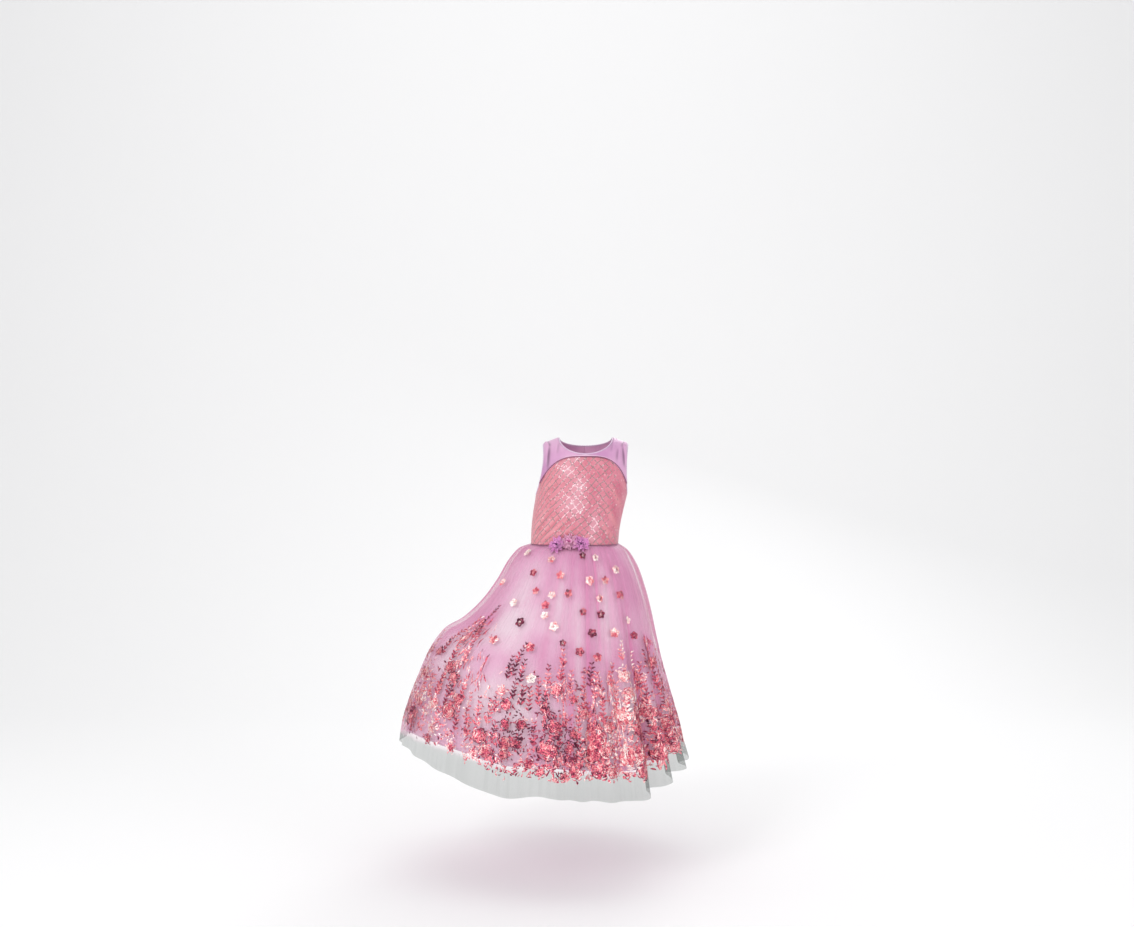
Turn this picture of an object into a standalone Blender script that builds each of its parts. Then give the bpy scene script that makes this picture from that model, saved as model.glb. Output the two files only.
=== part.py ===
"""Princess costume dress, size 110 to 120, in the hollow form and pose that it has when worn.

Sleeveless bodice with a curved yoke seam, and a gathered overskirt of tulle over a satin lining.
Metres, +Z up, the front faces -Y. The origin lies midway between the two shoulder seams.
Run with: blender --background --python part.py
"""

import math

import bmesh
import bpy
import numpy as np

# Thickness of each cloth, and the space left at a seam
SEAM_GAP = 0.0003
BODICE_CLOTH = 0.0014
TULLE = 0.0012
LINING = 0.0010


def table(columns, rows):
    """A table with named columns and one row for each section or fold."""
    return np.array(rows, dtype=[(name, float) for name in columns.split()])


def follow(knots, values, at):
    """Smooth curve through the values at the knots: cubic pieces with matching slopes."""
    at = np.clip(at, knots[0], knots[-1])
    slopes = np.gradient(values, knots)
    i = np.clip(np.searchsorted(knots, at, side="right") - 1, 0, len(knots) - 2)
    span = knots[i + 1] - knots[i]
    t = (at - knots[i]) / span
    start = (1 + 2 * t) * (1 - t) ** 2 * values[i] + t * (1 - t) ** 2 * span * slopes[i]
    end = t**2 * (3 - 2 * t) * values[i + 1] - t**2 * (1 - t) * span * slopes[i + 1]
    return start + end


def ease(t):
    """0 before t = 0, 1 after t = 1, and a smooth rise between them."""
    t = np.clip(t, 0, 1)
    return t * t * (3 - 2 * t)


def unit(vectors):
    return vectors / np.linalg.norm(vectors, axis=-1, keepdims=True)


# Torso of the bodice: one row for each level, from the waist seam to the shoulders
WAIST_Z = -0.2345
TORSO = table(
    "height lean half_width front back",
    [
        (WAIST_Z, -0.0263, 0.0997, 0.0760, 0.0700),
        (-0.1990, -0.0240, 0.1008, 0.0775, 0.0700),
        (-0.1600, -0.0180, 0.1026, 0.0800, 0.0715),
        (-0.1250, -0.0110, 0.1040, 0.0810, 0.0730),
        (-0.0660, -0.0045, 0.1080, 0.0780, 0.0740),
        (0.0200, 0.0000, 0.1180, 0.0740, 0.0720),
    ],
)
SQUARENESS = 2.5
SHOULDER_ROUND = 0.070

# Shoulder seam, from the neck to the armhole, in shares of the torso's half width
NECK_ACROSS, NECK_Z = 0.543, 0.0070
TIP_ACROSS, TIP_Z = 0.816, -0.0050
SHOULDER_SLOPE = (TIP_Z - NECK_Z) / (TIP_ACROSS - NECK_ACROSS)

# Edges and seams of the bodice
FRONT_NECK_DEPTH = 0.0388
BACK_NECK_DEPTH = 0.0190
ARMHOLE_DEPTH = 0.1190
ARMHOLE_BEND = math.acos(TIP_ACROSS ** (SQUARENESS / 2))
ARMHOLE_FULLNESS = 1.05
ARCH_TURN = math.radians(52)
ARCH_TOP = -0.0358
ARCH_POWER = 3.3


def torso_depth_squared(x, z, side):
    """Square of the torso's depth at x and z: a superellipse across, domed towards the shoulders."""
    lean = follow(TORSO["height"], TORSO["lean"], z)
    half = follow(TORSO["height"], TORSO["half_width"], z)
    depth = follow(TORSO["height"], TORSO["front" if side < 0 else "back"], z)
    across = np.abs(x - lean) / half
    under = (NECK_Z + SHOULDER_SLOPE * (across - NECK_ACROSS) - z) / SHOULDER_ROUND
    dome = 1 - (1 - np.minimum(under, 1)) ** 2
    rest = 1 - across**SQUARENESS
    return depth**2 * dome * np.sign(rest) * np.abs(rest) ** (2 / SQUARENESS)


def torso(across, z, side):
    """(points, outward normals) on the torso. across runs from -1 to 1, side is -1 in front."""
    step = 0.0002
    x = follow(TORSO["height"], TORSO["lean"], z)
    x = x + across * follow(TORSO["height"], TORSO["half_width"], z)
    square = torso_depth_squared(x, z, side)
    slope_x = torso_depth_squared(x + step, z, side) - torso_depth_squared(x - step, z, side)
    slope_z = torso_depth_squared(x, z + step, side) - torso_depth_squared(x, z - step, side)
    y = side * np.sqrt(np.maximum(square, 0))
    normals = np.stack([-slope_x, 4 * step * y, -slope_z], axis=-1)
    return np.stack([x, y, z + 0 * x], axis=-1), unit(normals)


def armhole(turn):
    """(across, z) on the armhole's edge. turn is 0 at the shoulder, a quarter turn at the side seam."""
    bend = ARMHOLE_BEND * np.cos(turn) ** ARMHOLE_FULLNESS
    return np.cos(bend) ** (2 / SQUARENESS), TIP_Z - ARMHOLE_DEPTH * np.sin(turn)


def neckline(turn, depth):
    """(across, z) on the neckline, a quarter of an ellipse from the shoulder to the middle."""
    return NECK_ACROSS * np.cos(turn), NECK_Z - depth * np.sin(turn)


ARCH_ACROSS, ARCH_END = armhole(ARCH_TURN)


def arch(across):
    """Height of the curved seam between the yoke and the front panel."""
    return ARCH_TOP - (ARCH_TOP - ARCH_END) * np.abs(across / ARCH_ACROSS) ** ARCH_POWER


# How finely the edges are divided. Pieces that meet at a seam share these places.
QUARTER = math.pi / 2
STRAP_TURNS = ARCH_TURN * (np.arange(9) / 8) ** 2
SIDE_TURNS = np.linspace(ARCH_TURN, QUARTER, 6)
ARCH_PLACES = ARCH_ACROSS * np.sin(np.linspace(0, QUARTER, 11))
STRAP_COLUMNS = np.linspace(0, 1, 5)
STRAP_NECK_SHARE = 0.3
FRONT_ROWS = 8

# Skirt: one row for each level down the cloth, with where each of its four sides lies
SKIRT_TOP = WAIST_Z - SEAM_GAP
SKIRT = table(
    "share centre left left_z right right_z front front_z back back_z",
    [
        (0.00, -0.026, -0.126, SKIRT_TOP, 0.074, SKIRT_TOP, 0.0760, SKIRT_TOP, 0.0700, SKIRT_TOP),
        (0.05, -0.028, -0.151, -0.2450, 0.093, -0.2500, 0.0945, -0.2505, 0.0900, -0.2505),
        (0.10, -0.030, -0.171, -0.2670, 0.109, -0.2760, 0.1105, -0.2770, 0.1075, -0.2770),
        (0.20, -0.034, -0.201, -0.3170, 0.129, -0.3290, 0.1340, -0.3300, 0.1330, -0.3300),
        (0.30, -0.037, -0.237, -0.3650, 0.144, -0.3840, 0.1530, -0.3850, 0.1540, -0.3850),
        (0.40, -0.040, -0.280, -0.4050, 0.156, -0.4390, 0.1700, -0.4400, 0.1740, -0.4400),
        (0.50, -0.042, -0.324, -0.4320, 0.168, -0.4920, 0.1870, -0.4950, 0.1930, -0.4950),
        (0.60, -0.044, -0.357, -0.4790, 0.182, -0.5430, 0.2050, -0.5490, 0.2120, -0.5500),
        (0.70, -0.046, -0.381, -0.5350, 0.195, -0.5930, 0.2220, -0.6020, 0.2300, -0.6040),
        (0.80, -0.048, -0.400, -0.5910, 0.206, -0.6400, 0.2380, -0.6540, 0.2470, -0.6570),
        (0.90, -0.049, -0.414, -0.6440, 0.215, -0.6840, 0.2540, -0.7040, 0.2630, -0.7080),
        (1.00, -0.050, -0.421, -0.6940, 0.225, -0.7240, 0.2690, -0.7530, 0.2780, -0.7580),
    ],
)
SIDE_LIFT_POWER = 1.3

# Where the hem hangs higher or lower than those four sides give it
HEM_RISES = table(
    "angle width rise",
    [
        (200, 22, 0.018),
        (248, 12, -0.012),
        (263, 8, 0.006),
        (305, 20, -0.024),
        (60, 24, -0.014),
        (155, 24, 0.010),
    ],
)

# Folds of the overskirt: the way they point at their top and at the hem (0 right, 90 back,
# 180 left, 270 front), their half width in degrees, their depth (below 0 for a fold inwards),
# and where down the cloth they begin
FOLDS = table(
    "top_angle hem_angle width depth begins",
    [
        (4, 4, 5.0, 0.010, 0.14),
        (19, 20, 5.0, 0.019, 0.10),
        (36, 35, 4.6, 0.019, 0.16),
        (51, 51, 5.2, 0.024, 0.08),
        (67, 66, 4.6, 0.020, 0.18),
        (82, 83, 5.0, 0.026, 0.12),
        (97, 98, 4.6, 0.021, 0.10),
        (113, 113, 5.0, 0.025, 0.16),
        (130, 129, 4.8, 0.022, 0.12),
        (146, 146, 5.2, 0.020, 0.20),
        (163, 163, 5.0, 0.014, 0.30),
        (192, 185, 4.6, 0.005, 0.42),
        (194, 197, 4.0, 0.006, 0.44),
        (197, 210, 4.4, 0.008, 0.44),
        (200, 223, 5.0, 0.007, 0.46),
        (236, 237, 5.5, 0.008, 0.25),
        (252, 253, 5.6, 0.014, 0.20),
        (268, 267, 4.2, 0.014, 0.12),
        (277, 278, 3.2, 0.014, 0.10),
        (288, 290, 4.2, 0.016, 0.10),
        (304, 307, 4.6, 0.022, 0.08),
        (314, 315, 3.2, -0.024, 0.12),
        (322, 323, 4.2, 0.016, 0.12),
        (331, 332, 3.4, -0.022, 0.30),
        (338, 340, 4.4, 0.014, 0.36),
        (345, 349, 3.4, -0.014, 0.44),
        (350, 357, 3.8, 0.008, 0.46),
    ],
)

# Points where the skirt is drawn out: how far, how widely in degrees, and over what share of it
PULLS = table(
    "angle share reach width length",
    [
        (194, 0.43, 0.010, 8, 0.040),
        (342, 0.44, 0.008, 8, 0.035),
    ],
)

# Fine gathers under the waist seam
GATHERS = 56
GATHER_LEVELS = (0.0, 0.05, 0.14, 0.30, 0.55, 1.0)
GATHER_DEPTHS = (0.0016, 0.0034, 0.0042, 0.0036, 0.0012, 0.0)


def bump(angle, middle, width):
    """1 at the middle angle, in degrees, and falling smoothly away from it on both sides."""
    turn = (np.degrees(angle) - middle + 180) % 360 - 180
    return np.exp(-((turn / width) ** 2))


def skirt_base(angle, share):
    """(point, outward level direction) on the smooth skirt under its folds."""
    level = {name: follow(SKIRT["share"], SKIRT[name], share) for name in SKIRT.dtype.names}
    right, back = np.cos(angle), np.sin(angle)
    reach_x = np.where(right > 0, level["right"] - level["centre"], level["centre"] - level["left"])
    reach_y = np.where(back > 0, level["back"], level["front"])
    side_z = np.where(right > 0, level["right_z"], level["left_z"])
    middle_z = np.where(back > 0, level["back_z"], level["front_z"])
    z = middle_z + (side_z - middle_z) * np.abs(right) ** SIDE_LIFT_POWER
    for hem in HEM_RISES:
        z = z + hem["rise"] * share**2 * bump(angle, hem["angle"], hem["width"])
    point = np.stack([level["centre"] + reach_x * right, reach_y * back, z], axis=-1)
    return point, unit(np.stack([right / reach_x, back / reach_y, 0 * z], axis=-1))


def fold_height(angle, share):
    """How far the large folds and the drawn-out points stand out from the smooth skirt."""
    height = 0 * angle * share
    for fold in FOLDS:
        down = ease((share - fold["begins"]) / (1 - fold["begins"]))
        middle = fold["top_angle"] + (fold["hem_angle"] - fold["top_angle"]) * down
        width = fold["width"] * (0.45 + 0.55 * down)
        height = height + fold["depth"] * down * bump(angle, middle, width)
    for pull in PULLS:
        down = np.exp(-(((share - pull["share"]) / pull["length"]) ** 2))
        height = height + pull["reach"] * down * bump(angle, pull["angle"], pull["width"])
    return height


def gather_height(angle, share):
    """Fine gathers, which stand outwards from the seam and run out down the skirt."""
    depth = follow(np.array(GATHER_LEVELS), np.array(GATHER_DEPTHS), share)
    return depth * (1 - np.cos(GATHERS * angle)) / 2


def overskirt(angle, share):
    point, outward = skirt_base(angle, share)
    height = fold_height(angle, share) + gather_height(angle, share)
    return point + outward * height[..., None]


# The lining keeps inside the overskirt, with shallower folds, and ends above its hem
LINING_FOLDS = 0.35
LINING_INSET = 0.0065
LINING_END_FRONT = 0.880
LINING_END_LEFT = 0.950


def lining(angle, share):
    to_left = np.maximum(-np.cos(angle), 0) ** 4
    share = share * (LINING_END_FRONT + (LINING_END_LEFT - LINING_END_FRONT) * to_left)
    point, outward = skirt_base(angle, share)
    height = fold_height(angle, share)
    return point + outward * np.minimum(height, LINING_FOLDS * height)[..., None]


def surface_normals(surface, angle, share):
    """Outward normals of a skirt surface, from how it changes around and down."""
    step = 0.002
    around = surface(angle + step, share) - surface(angle - step, share)
    down = surface(angle, np.minimum(share + step, 1)) - surface(angle, np.maximum(share - step, 0))
    return unit(np.cross(down, around))


# Solids
def add_object(name, vertices, faces, material):
    """A closed mesh with its faces pointing out, as one object."""
    mesh = bpy.data.meshes.new(name)
    mesh.from_pydata([tuple(v) for v in vertices], [], faces)
    work = bmesh.new()
    work.from_mesh(mesh)
    bmesh.ops.recalc_face_normals(work, faces=work.faces)
    if work.calc_volume(signed=True) < 0:
        bmesh.ops.reverse_faces(work, faces=work.faces)
    work.to_mesh(mesh)
    work.free()
    mesh.shade_smooth()
    mesh.set_sharp_from_angle(angle=math.radians(50))
    mesh.materials.append(material)
    made = bpy.data.objects.new(name, mesh)
    bpy.context.scene.collection.objects.link(made)
    return made


def strip(upper, lower):
    """Faces between two rows of vertex numbers. The lower row may be half as fine."""
    if len(upper) == len(lower):
        return [(upper[i], upper[i + 1], lower[i + 1], lower[i]) for i in range(len(upper) - 1)]
    faces = []
    for i in range(len(lower) - 1):
        faces.append((upper[2 * i], upper[2 * i + 1], lower[i]))
        faces.append((upper[2 * i + 1], lower[i + 1], lower[i]))
        faces.append((upper[2 * i + 1], upper[2 * i + 2], lower[i + 1]))
    return faces


def wall(name, outer, normals, thickness, material, coarse_from=None):
    """A sheet of cloth: the outer grid of points, and an inner one below it along the normals.

    Rows from coarse_from on keep every second point.
    """
    inner = outer - normals * thickness
    vertices, sides = [], []
    for grid in (outer, inner):
        rows = []
        for i, row in enumerate(grid):
            kept = row[::2] if coarse_from is not None and i >= coarse_from else row
            rows.append(list(range(len(vertices), len(vertices) + len(kept))))
            vertices.extend(kept)
        sides.append(rows)
    faces = []
    for rows in sides:
        for upper, lower in zip(rows, rows[1:]):
            faces += strip(upper, lower)
    for end in (0, -1):
        faces += strip(sides[0][end], sides[1][end])
        faces += strip([row[end] for row in sides[0]], [row[end] for row in sides[1]])
    return add_object(name, vertices, faces, material)


def tube(name, points, first, second, section, material, closed):
    """A section carried along points. Each of its corners is (along first, along second)."""
    count, corners = len(points), len(section)
    vertices = [p + a * u + b * v for p, u, v in zip(points, first, second) for a, b in section]
    faces = []
    for i in range(count if closed else count - 1):
        here, there = i * corners, (i + 1) % count * corners
        for j in range(corners):
            k = (j + 1) % corners
            faces.append((here + j, here + k, there + k, there + j))
    if not closed:
        faces.append(tuple(range(corners)))
        faces.append(tuple(range((count - 1) * corners, count * corners)))
    return add_object(name, vertices, faces, material)


def cloth(name, color, roughness, metallic=0.0):
    made = bpy.data.materials.new(name)
    made.use_nodes = True
    shader = made.node_tree.nodes["Principled BSDF"]
    shader.inputs["Base Color"].default_value = (*color, 1)
    shader.inputs["Roughness"].default_value = roughness
    shader.inputs["Metallic"].default_value = metallic
    return made


# Bodice
def front_panel(material):
    """Front of the bodice, under the curved seam, from side seam to side seam."""
    half_width = float(follow(TORSO["height"], TORSO["half_width"], np.array(ARCH_TOP)))
    seam_z = arch(ARCH_PLACES)
    slope = np.gradient(seam_z, ARCH_PLACES * half_width)
    length = np.sqrt(1 + slope**2)
    places = ARCH_PLACES + SEAM_GAP * slope / length / half_width
    places[0] = 0
    heights = seam_z - SEAM_GAP / length
    side_across, side_z = armhole(SIDE_TURNS[1:])
    across = np.concatenate([places, side_across])
    top = np.concatenate([heights, side_z])
    across = np.concatenate([-across[:0:-1], across])
    top = np.concatenate([top[:0:-1], top])
    rise = np.linspace(0, 1, FRONT_ROWS + 1)[:, None]
    points, normals = torso(across + 0 * rise, WAIST_Z + (top - WAIST_Z) * rise, -1)
    points[:, [0, -1], 1] -= SEAM_GAP / 2
    return wall("bodice_front", points, normals, BODICE_CLOTH, material)


def yoke_outline():
    """(neck edge, lower edge) of half the yoke, each (across, z), row by row from the shoulder."""
    strap_across, strap_z = armhole(STRAP_TURNS)
    seam_across = ARCH_PLACES[-2::-1]
    lower = (
        np.concatenate([strap_across, seam_across]),
        np.concatenate([strap_z, arch(seam_across)]),
    )
    strap_share = STRAP_NECK_SHARE * (np.arange(len(STRAP_TURNS)) / (len(STRAP_TURNS) - 1)) ** 2
    rest_share = 1 - (1 - STRAP_NECK_SHARE) * seam_across / ARCH_ACROSS
    turns = QUARTER * np.concatenate([strap_share, rest_share])
    return neckline(turns, FRONT_NECK_DEPTH), lower


def yoke(material):
    """Front yoke with both straps, between the neckline, the armholes and the curved seam."""
    (neck_across, neck_z), (low_across, low_z) = yoke_outline()
    share = STRAP_COLUMNS
    across = neck_across[:, None] * (1 - share) + low_across[:, None] * share
    z = neck_z[:, None] * (1 - share) + low_z[:, None] * share
    across = np.concatenate([-across, across[-2::-1]])
    z = np.concatenate([z, z[-2::-1]])
    points, normals = torso(across, z, -1)
    points[[0, -1], :, 1] -= SEAM_GAP / 2
    return wall("yoke_front", points, normals, BODICE_CLOTH, material)


BACK_SIDE_LEVELS = np.linspace(0, 1, 5)
BACK_NECK_ROWS = 7
BACK_NECK_TURNS = QUARTER * (np.arange(BACK_NECK_ROWS) / (BACK_NECK_ROWS - 1)) ** 1.3
BACK_TURNS = np.concatenate([SIDE_TURNS[::-1], STRAP_TURNS[-2::-1]])


def back_panel(name, hand, material):
    """Half the back, from the waist to the shoulder seam. hand is 1 on the right, -1 on the left."""
    under_z = TIP_Z - ARMHOLE_DEPTH
    side_z = WAIST_Z + (under_z - WAIST_Z) * BACK_SIDE_LEVELS[:-1]
    hole_across, hole_z = armhole(BACK_TURNS)
    outer_across = np.concatenate([0 * side_z + 1, hole_across])
    outer_z = np.concatenate([side_z, hole_z])
    neck_across, neck_z = neckline(BACK_NECK_TURNS[::-1], BACK_NECK_DEPTH)
    middle_rows = len(outer_z) - BACK_NECK_ROWS + 1
    share = np.linspace(0, 1, middle_rows)
    middle_z = WAIST_Z + (neck_z[0] - WAIST_Z) * (0.75 * share + 0.25 * share * (2 - share))
    inner_across = np.concatenate([0 * middle_z, neck_across[1:]])
    inner_z = np.concatenate([middle_z, neck_z[1:]])
    lines = np.linspace(0, 1, 9)
    across = outer_across[:, None] * (1 - lines) + inner_across[:, None] * lines
    z = outer_z[:, None] * (1 - lines) + inner_z[:, None] * lines
    points, normals = torso(hand * across, z, 1)
    points[inner_across == 0, -1, 0] += hand * SEAM_GAP / 2
    points[-1, :, 1] += SEAM_GAP / 2
    points[outer_across == 1, 0, 1] += SEAM_GAP / 2
    wall(name, points, normals, BODICE_CLOTH, material)
    return middle_z


PLACKET_HALF_WIDTH = 0.009
PLACKET_GAP = 0.0006


def placket(levels, material):
    """Strip over the middle back opening, from the waist seam to under the neck edge."""
    half = follow(TORSO["height"], TORSO["half_width"], levels)
    across = np.linspace(-1, 1, 5) * PLACKET_HALF_WIDTH / half[:, None]
    points, normals = torso(across, levels[:, None] + 0 * across, 1)
    outer = points + normals * (PLACKET_GAP + BODICE_CLOTH)
    return wall("back_placket", outer, normals, BODICE_CLOTH, material)


NECK_BINDING = 0.0030
ARMHOLE_BINDING = 0.0042
BINDING_PROUD = 0.0004


def binding_section(width):
    """Rounded strip that stands off a cloth's edge: (away from the cloth, along its normal)."""
    low, high = -BODICE_CLOTH - BINDING_PROUD, BINDING_PROUD
    near, far = SEAM_GAP, SEAM_GAP + width
    shoulder = SEAM_GAP + 0.7 * width
    middle = (low + high) / 2
    return [(near, low), (near, high), (shoulder, high), (far, middle), (shoulder, low)]


def edge_frames(points, normals, inside, closed):
    """Directions that leave the cloth at each point of an edge, towards the point inside the hole."""
    if closed:
        along = np.roll(points, -1, axis=0) - np.roll(points, 1, axis=0)
    else:
        along = np.gradient(points, axis=0)
    away = unit(np.cross(normals, along))
    return away * np.sign(np.sum(away * (inside - points), axis=1, keepdims=True))


def neck_binding(material):
    """Narrow edge round the neck, open at the middle back."""
    (front_across, front_z), _ = yoke_outline()
    back_across, back_z = neckline(BACK_NECK_TURNS, BACK_NECK_DEPTH)
    back, back_normals = torso(back_across[:0:-1], back_z[:0:-1], 1)
    front, front_normals = torso(front_across, front_z, -1)
    half = np.concatenate([back, front])
    half_normals = np.concatenate([back_normals, front_normals])
    half[0, 0] += SEAM_GAP / 2
    mirror = np.array([-1.0, 1.0, 1.0])
    lean = 2 * follow(TORSO["height"], TORSO["lean"], half[:, 2])
    other = half * mirror
    other[:, 0] += lean
    points = np.concatenate([half, other[-2::-1]])
    normals = np.concatenate([half_normals, (half_normals * mirror)[-2::-1]])
    inside = np.array([0.0, 0.0, NECK_Z])
    away = edge_frames(points, normals, inside, closed=False)
    section = binding_section(NECK_BINDING)
    return tube("neck_binding", points, away, normals, section, material, closed=False)


def armhole_binding(name, hand, material):
    """Narrow edge round one armhole."""
    front_turns = np.concatenate([STRAP_TURNS, SIDE_TURNS[1:]])
    across, z = armhole(front_turns)
    front, front_normals = torso(hand * across, z, -1)
    back, back_normals = torso(hand * across[-2:0:-1], z[-2:0:-1], 1)
    points = np.concatenate([front, back])
    normals = np.concatenate([front_normals, back_normals])
    inside = np.array([hand * 0.110, 0.0, (TIP_Z - ARMHOLE_DEPTH) / 2])
    away = edge_frames(points, normals, inside, closed=True)
    section = binding_section(ARMHOLE_BINDING)
    return tube(name, points, away, normals, section, material, closed=True)


PIPING_RADIUS = 0.0012
PIPING_CORNERS = 6


def arch_piping(material):
    """Round piping that lies on the curved seam of the yoke."""
    places = np.concatenate([-ARCH_PLACES[:0:-1], ARCH_PLACES])
    places[[0, -1]] = 0.985 * places[[0, -1]]
    points, normals = torso(places, arch(places), -1)
    points = points + normals * (SEAM_GAP + PIPING_RADIUS)
    sideways = unit(np.cross(normals, np.gradient(points, axis=0)))
    turns = np.arange(PIPING_CORNERS) * 2 * math.pi / PIPING_CORNERS
    section = [(PIPING_RADIUS * math.cos(t), PIPING_RADIUS * math.sin(t)) for t in turns]
    return tube("arch_piping", points, sideways, normals, section, material, closed=False)


# Skirt
OVERSKIRT_SHARES = (0, 0.03, 0.07, 0.13, 0.21, 0.31, 0.42, 0.54, 0.66, 0.78, 0.90, 1)
OVERSKIRT_COARSE_FROM = 4
LINING_SHARES = (0, 0.05, 0.13, 0.25, 0.40, 0.60, 0.80, 1)


def half_turn(start, columns):
    return math.radians(start) + np.linspace(0, math.pi, columns + 1)[None, :]


def part_at_sides(points):
    """Half the seam space at each side seam of a front or back half."""
    middle = points[:, points.shape[1] // 2, 1]
    points[:, [0, -1], 1] += SEAM_GAP / 2 * np.sign(middle)[:, None]
    return points


def overskirt_half(name, start, material):
    """Front or back of the gathered tulle overskirt."""
    angle, share = np.broadcast_arrays(
        half_turn(start, 2 * GATHERS), np.array(OVERSKIRT_SHARES, float)[:, None]
    )
    normals = surface_normals(overskirt, angle, share)
    points = part_at_sides(overskirt(angle, share))
    return wall(name, points, normals, TULLE, material, coarse_from=OVERSKIRT_COARSE_FROM)


def lining_half(name, start, material):
    """Front or back of the satin lining, inside the overskirt."""
    angle, share = np.broadcast_arrays(
        half_turn(start, GATHERS), np.array(LINING_SHARES, float)[:, None]
    )
    normals = surface_normals(lining, angle, share)
    inset = TULLE + SEAM_GAP + LINING_INSET * ease(share / 0.12)
    points = part_at_sides(lining(angle, share) - normals * inset[..., None])
    return wall(name, points, normals, LINING, material)


# Cloth flowers at the waist: the place of the back, which rests on the seam, how far its face
# turns to the side in degrees, its radius, and the length of its stem
FLOWERS = (
    ("flower_left", (-0.0665, -0.0804, -0.2370), -20, 0.0165, 0.0055),
    ("flower_middle", (-0.0385, -0.0798, -0.2300), -6, 0.0125, 0.0000),
    ("flower_right", (-0.0125, -0.0808, -0.2350), 8, 0.0150, 0.0055),
)
FLOWER_TILT = 25
PETALS = 5
FLOWER_POINTS = 20
# Profile from the middle of its back, round the petals' edge, to the middle of its face
FLOWER_PROFILE = table(
    "radius height petal",
    [
        (0.30, 0.0000, 0.0),
        (0.32, 0.0010, 0.0),
        (0.96, 0.0030, 1.0),
        (1.00, 0.0045, 1.0),
        (0.60, 0.0042, 0.3),
        (0.66, 0.0075, 0.8),
        (0.34, 0.0060, 0.2),
        (0.22, 0.0090, 0.0),
    ],
)
FLOWER_FACE = 0.0100
PETAL_CUT = 0.14
PETAL_RUFFLE = 0.0008


def flower(name, back, turn, radius, stem, material):
    """Layered cloth flower on a short stem, turned out and up from the waist seam."""
    profile = FLOWER_PROFILE
    angle = np.arange(FLOWER_POINTS) * 2 * math.pi / FLOWER_POINTS
    lobes = np.cos(PETALS * angle)[None, :]
    ruffle = np.cos(2 * PETALS * angle)[None, :]
    petal = profile["petal"][:, None]
    ring = radius * profile["radius"][:, None] * (1 + PETAL_CUT * petal * lobes)
    lift = np.where(profile["radius"] == profile["radius"][0], 0, stem)[:, None]
    height = profile["height"][:, None] + lift + PETAL_RUFFLE * petal * ruffle
    tilt, side = math.radians(FLOWER_TILT), math.radians(turn)
    face = np.array([math.sin(side) * math.cos(tilt), -math.cos(side) * math.cos(tilt), math.sin(tilt)])
    across = unit(np.cross(np.array([0.0, 0.0, 1.0]), face))
    up = np.cross(face, across)
    centre = np.array(back)
    rings = centre + ring[..., None] * (
        np.cos(angle)[:, None] * across + np.sin(angle)[:, None] * up
    ) + height[..., None] * face
    vertices = [p for row in rings for p in row]
    count, rows = FLOWER_POINTS, len(rings)
    faces = []
    for i in range(rows - 1):
        for j in range(count):
            k = (j + 1) % count
            faces.append((i * count + j, i * count + k, (i + 1) * count + k, (i + 1) * count + j))
    vertices += [centre, centre + (FLOWER_FACE + stem) * face]
    behind, front = len(vertices) - 2, len(vertices) - 1
    for j in range(count):
        k = (j + 1) % count
        faces.append((k, j, behind))
        faces.append(((rows - 1) * count + j, (rows - 1) * count + k, front))
    return add_object(name, vertices, faces, material)


def build():
    for old in list(bpy.data.objects):
        bpy.data.objects.remove(old)
    rose = cloth("rose_foil_knit", (0.78, 0.36, 0.42), 0.45)
    lilac = cloth("lilac_satin", (0.62, 0.38, 0.66), 0.35)
    edge = cloth("pale_edging", (0.80, 0.62, 0.80), 0.45)
    mauve = cloth("mauve_piping", (0.48, 0.18, 0.36), 0.40)
    tulle = cloth("lilac_tulle", (0.80, 0.52, 0.74), 0.60)
    satin = cloth("lilac_lining", (0.76, 0.54, 0.76), 0.35)
    orchid = cloth("orchid_organza", (0.66, 0.26, 0.62), 0.50)
    pink = cloth("pink_organza", (0.86, 0.45, 0.60), 0.50)

    front_panel(rose)
    yoke(lilac)
    back_panel("bodice_back_left", -1, lilac)
    levels = back_panel("bodice_back_right", 1, lilac)
    placket(levels, lilac)
    neck_binding(edge)
    armhole_binding("armhole_binding_left", -1, edge)
    armhole_binding("armhole_binding_right", 1, edge)
    arch_piping(mauve)
    overskirt_half("overskirt_front", 180, tulle)
    overskirt_half("overskirt_back", 0, tulle)
    lining_half("lining_front", 180, satin)
    lining_half("lining_back", 0, satin)
    for name, back, turn, radius, stem in FLOWERS:
        flower(name, back, turn, radius, stem, pink if name == "flower_middle" else orchid)


build()
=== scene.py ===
"""Looks of a child's princess costume dress: bodice, yoke, gathered foil-printed tulle, satin lining."""

import math

import bmesh
import bpy
import numpy as np
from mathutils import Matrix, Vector


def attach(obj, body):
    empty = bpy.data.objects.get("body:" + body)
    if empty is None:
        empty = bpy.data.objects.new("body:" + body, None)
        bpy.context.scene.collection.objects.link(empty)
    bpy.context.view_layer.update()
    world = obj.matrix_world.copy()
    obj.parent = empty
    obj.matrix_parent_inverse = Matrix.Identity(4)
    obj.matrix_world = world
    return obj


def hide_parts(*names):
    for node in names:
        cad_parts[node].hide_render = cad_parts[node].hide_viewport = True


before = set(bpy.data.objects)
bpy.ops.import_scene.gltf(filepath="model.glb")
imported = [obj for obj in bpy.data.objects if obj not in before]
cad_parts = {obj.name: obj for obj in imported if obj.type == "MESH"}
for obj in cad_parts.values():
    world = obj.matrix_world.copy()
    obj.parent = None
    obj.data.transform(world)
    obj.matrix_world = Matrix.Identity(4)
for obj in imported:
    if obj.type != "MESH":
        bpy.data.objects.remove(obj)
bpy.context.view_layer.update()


# Studio: a pale floor that curves up into a wall, large soft lamps, and the camera.
# The camera stands 3 m in front of the dress, level, and a little to the left of its shoulders.
PHOTO_WIDTH, FOCAL_PIXELS, SENSOR = 1134, 1310, 0.036
CAMERA_AT = (-0.0435, -3.0, -0.0515)
FLOOR_Z, WALL_Y, SWEEP_RADIUS = -0.965, 3.4, 1.6
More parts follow.
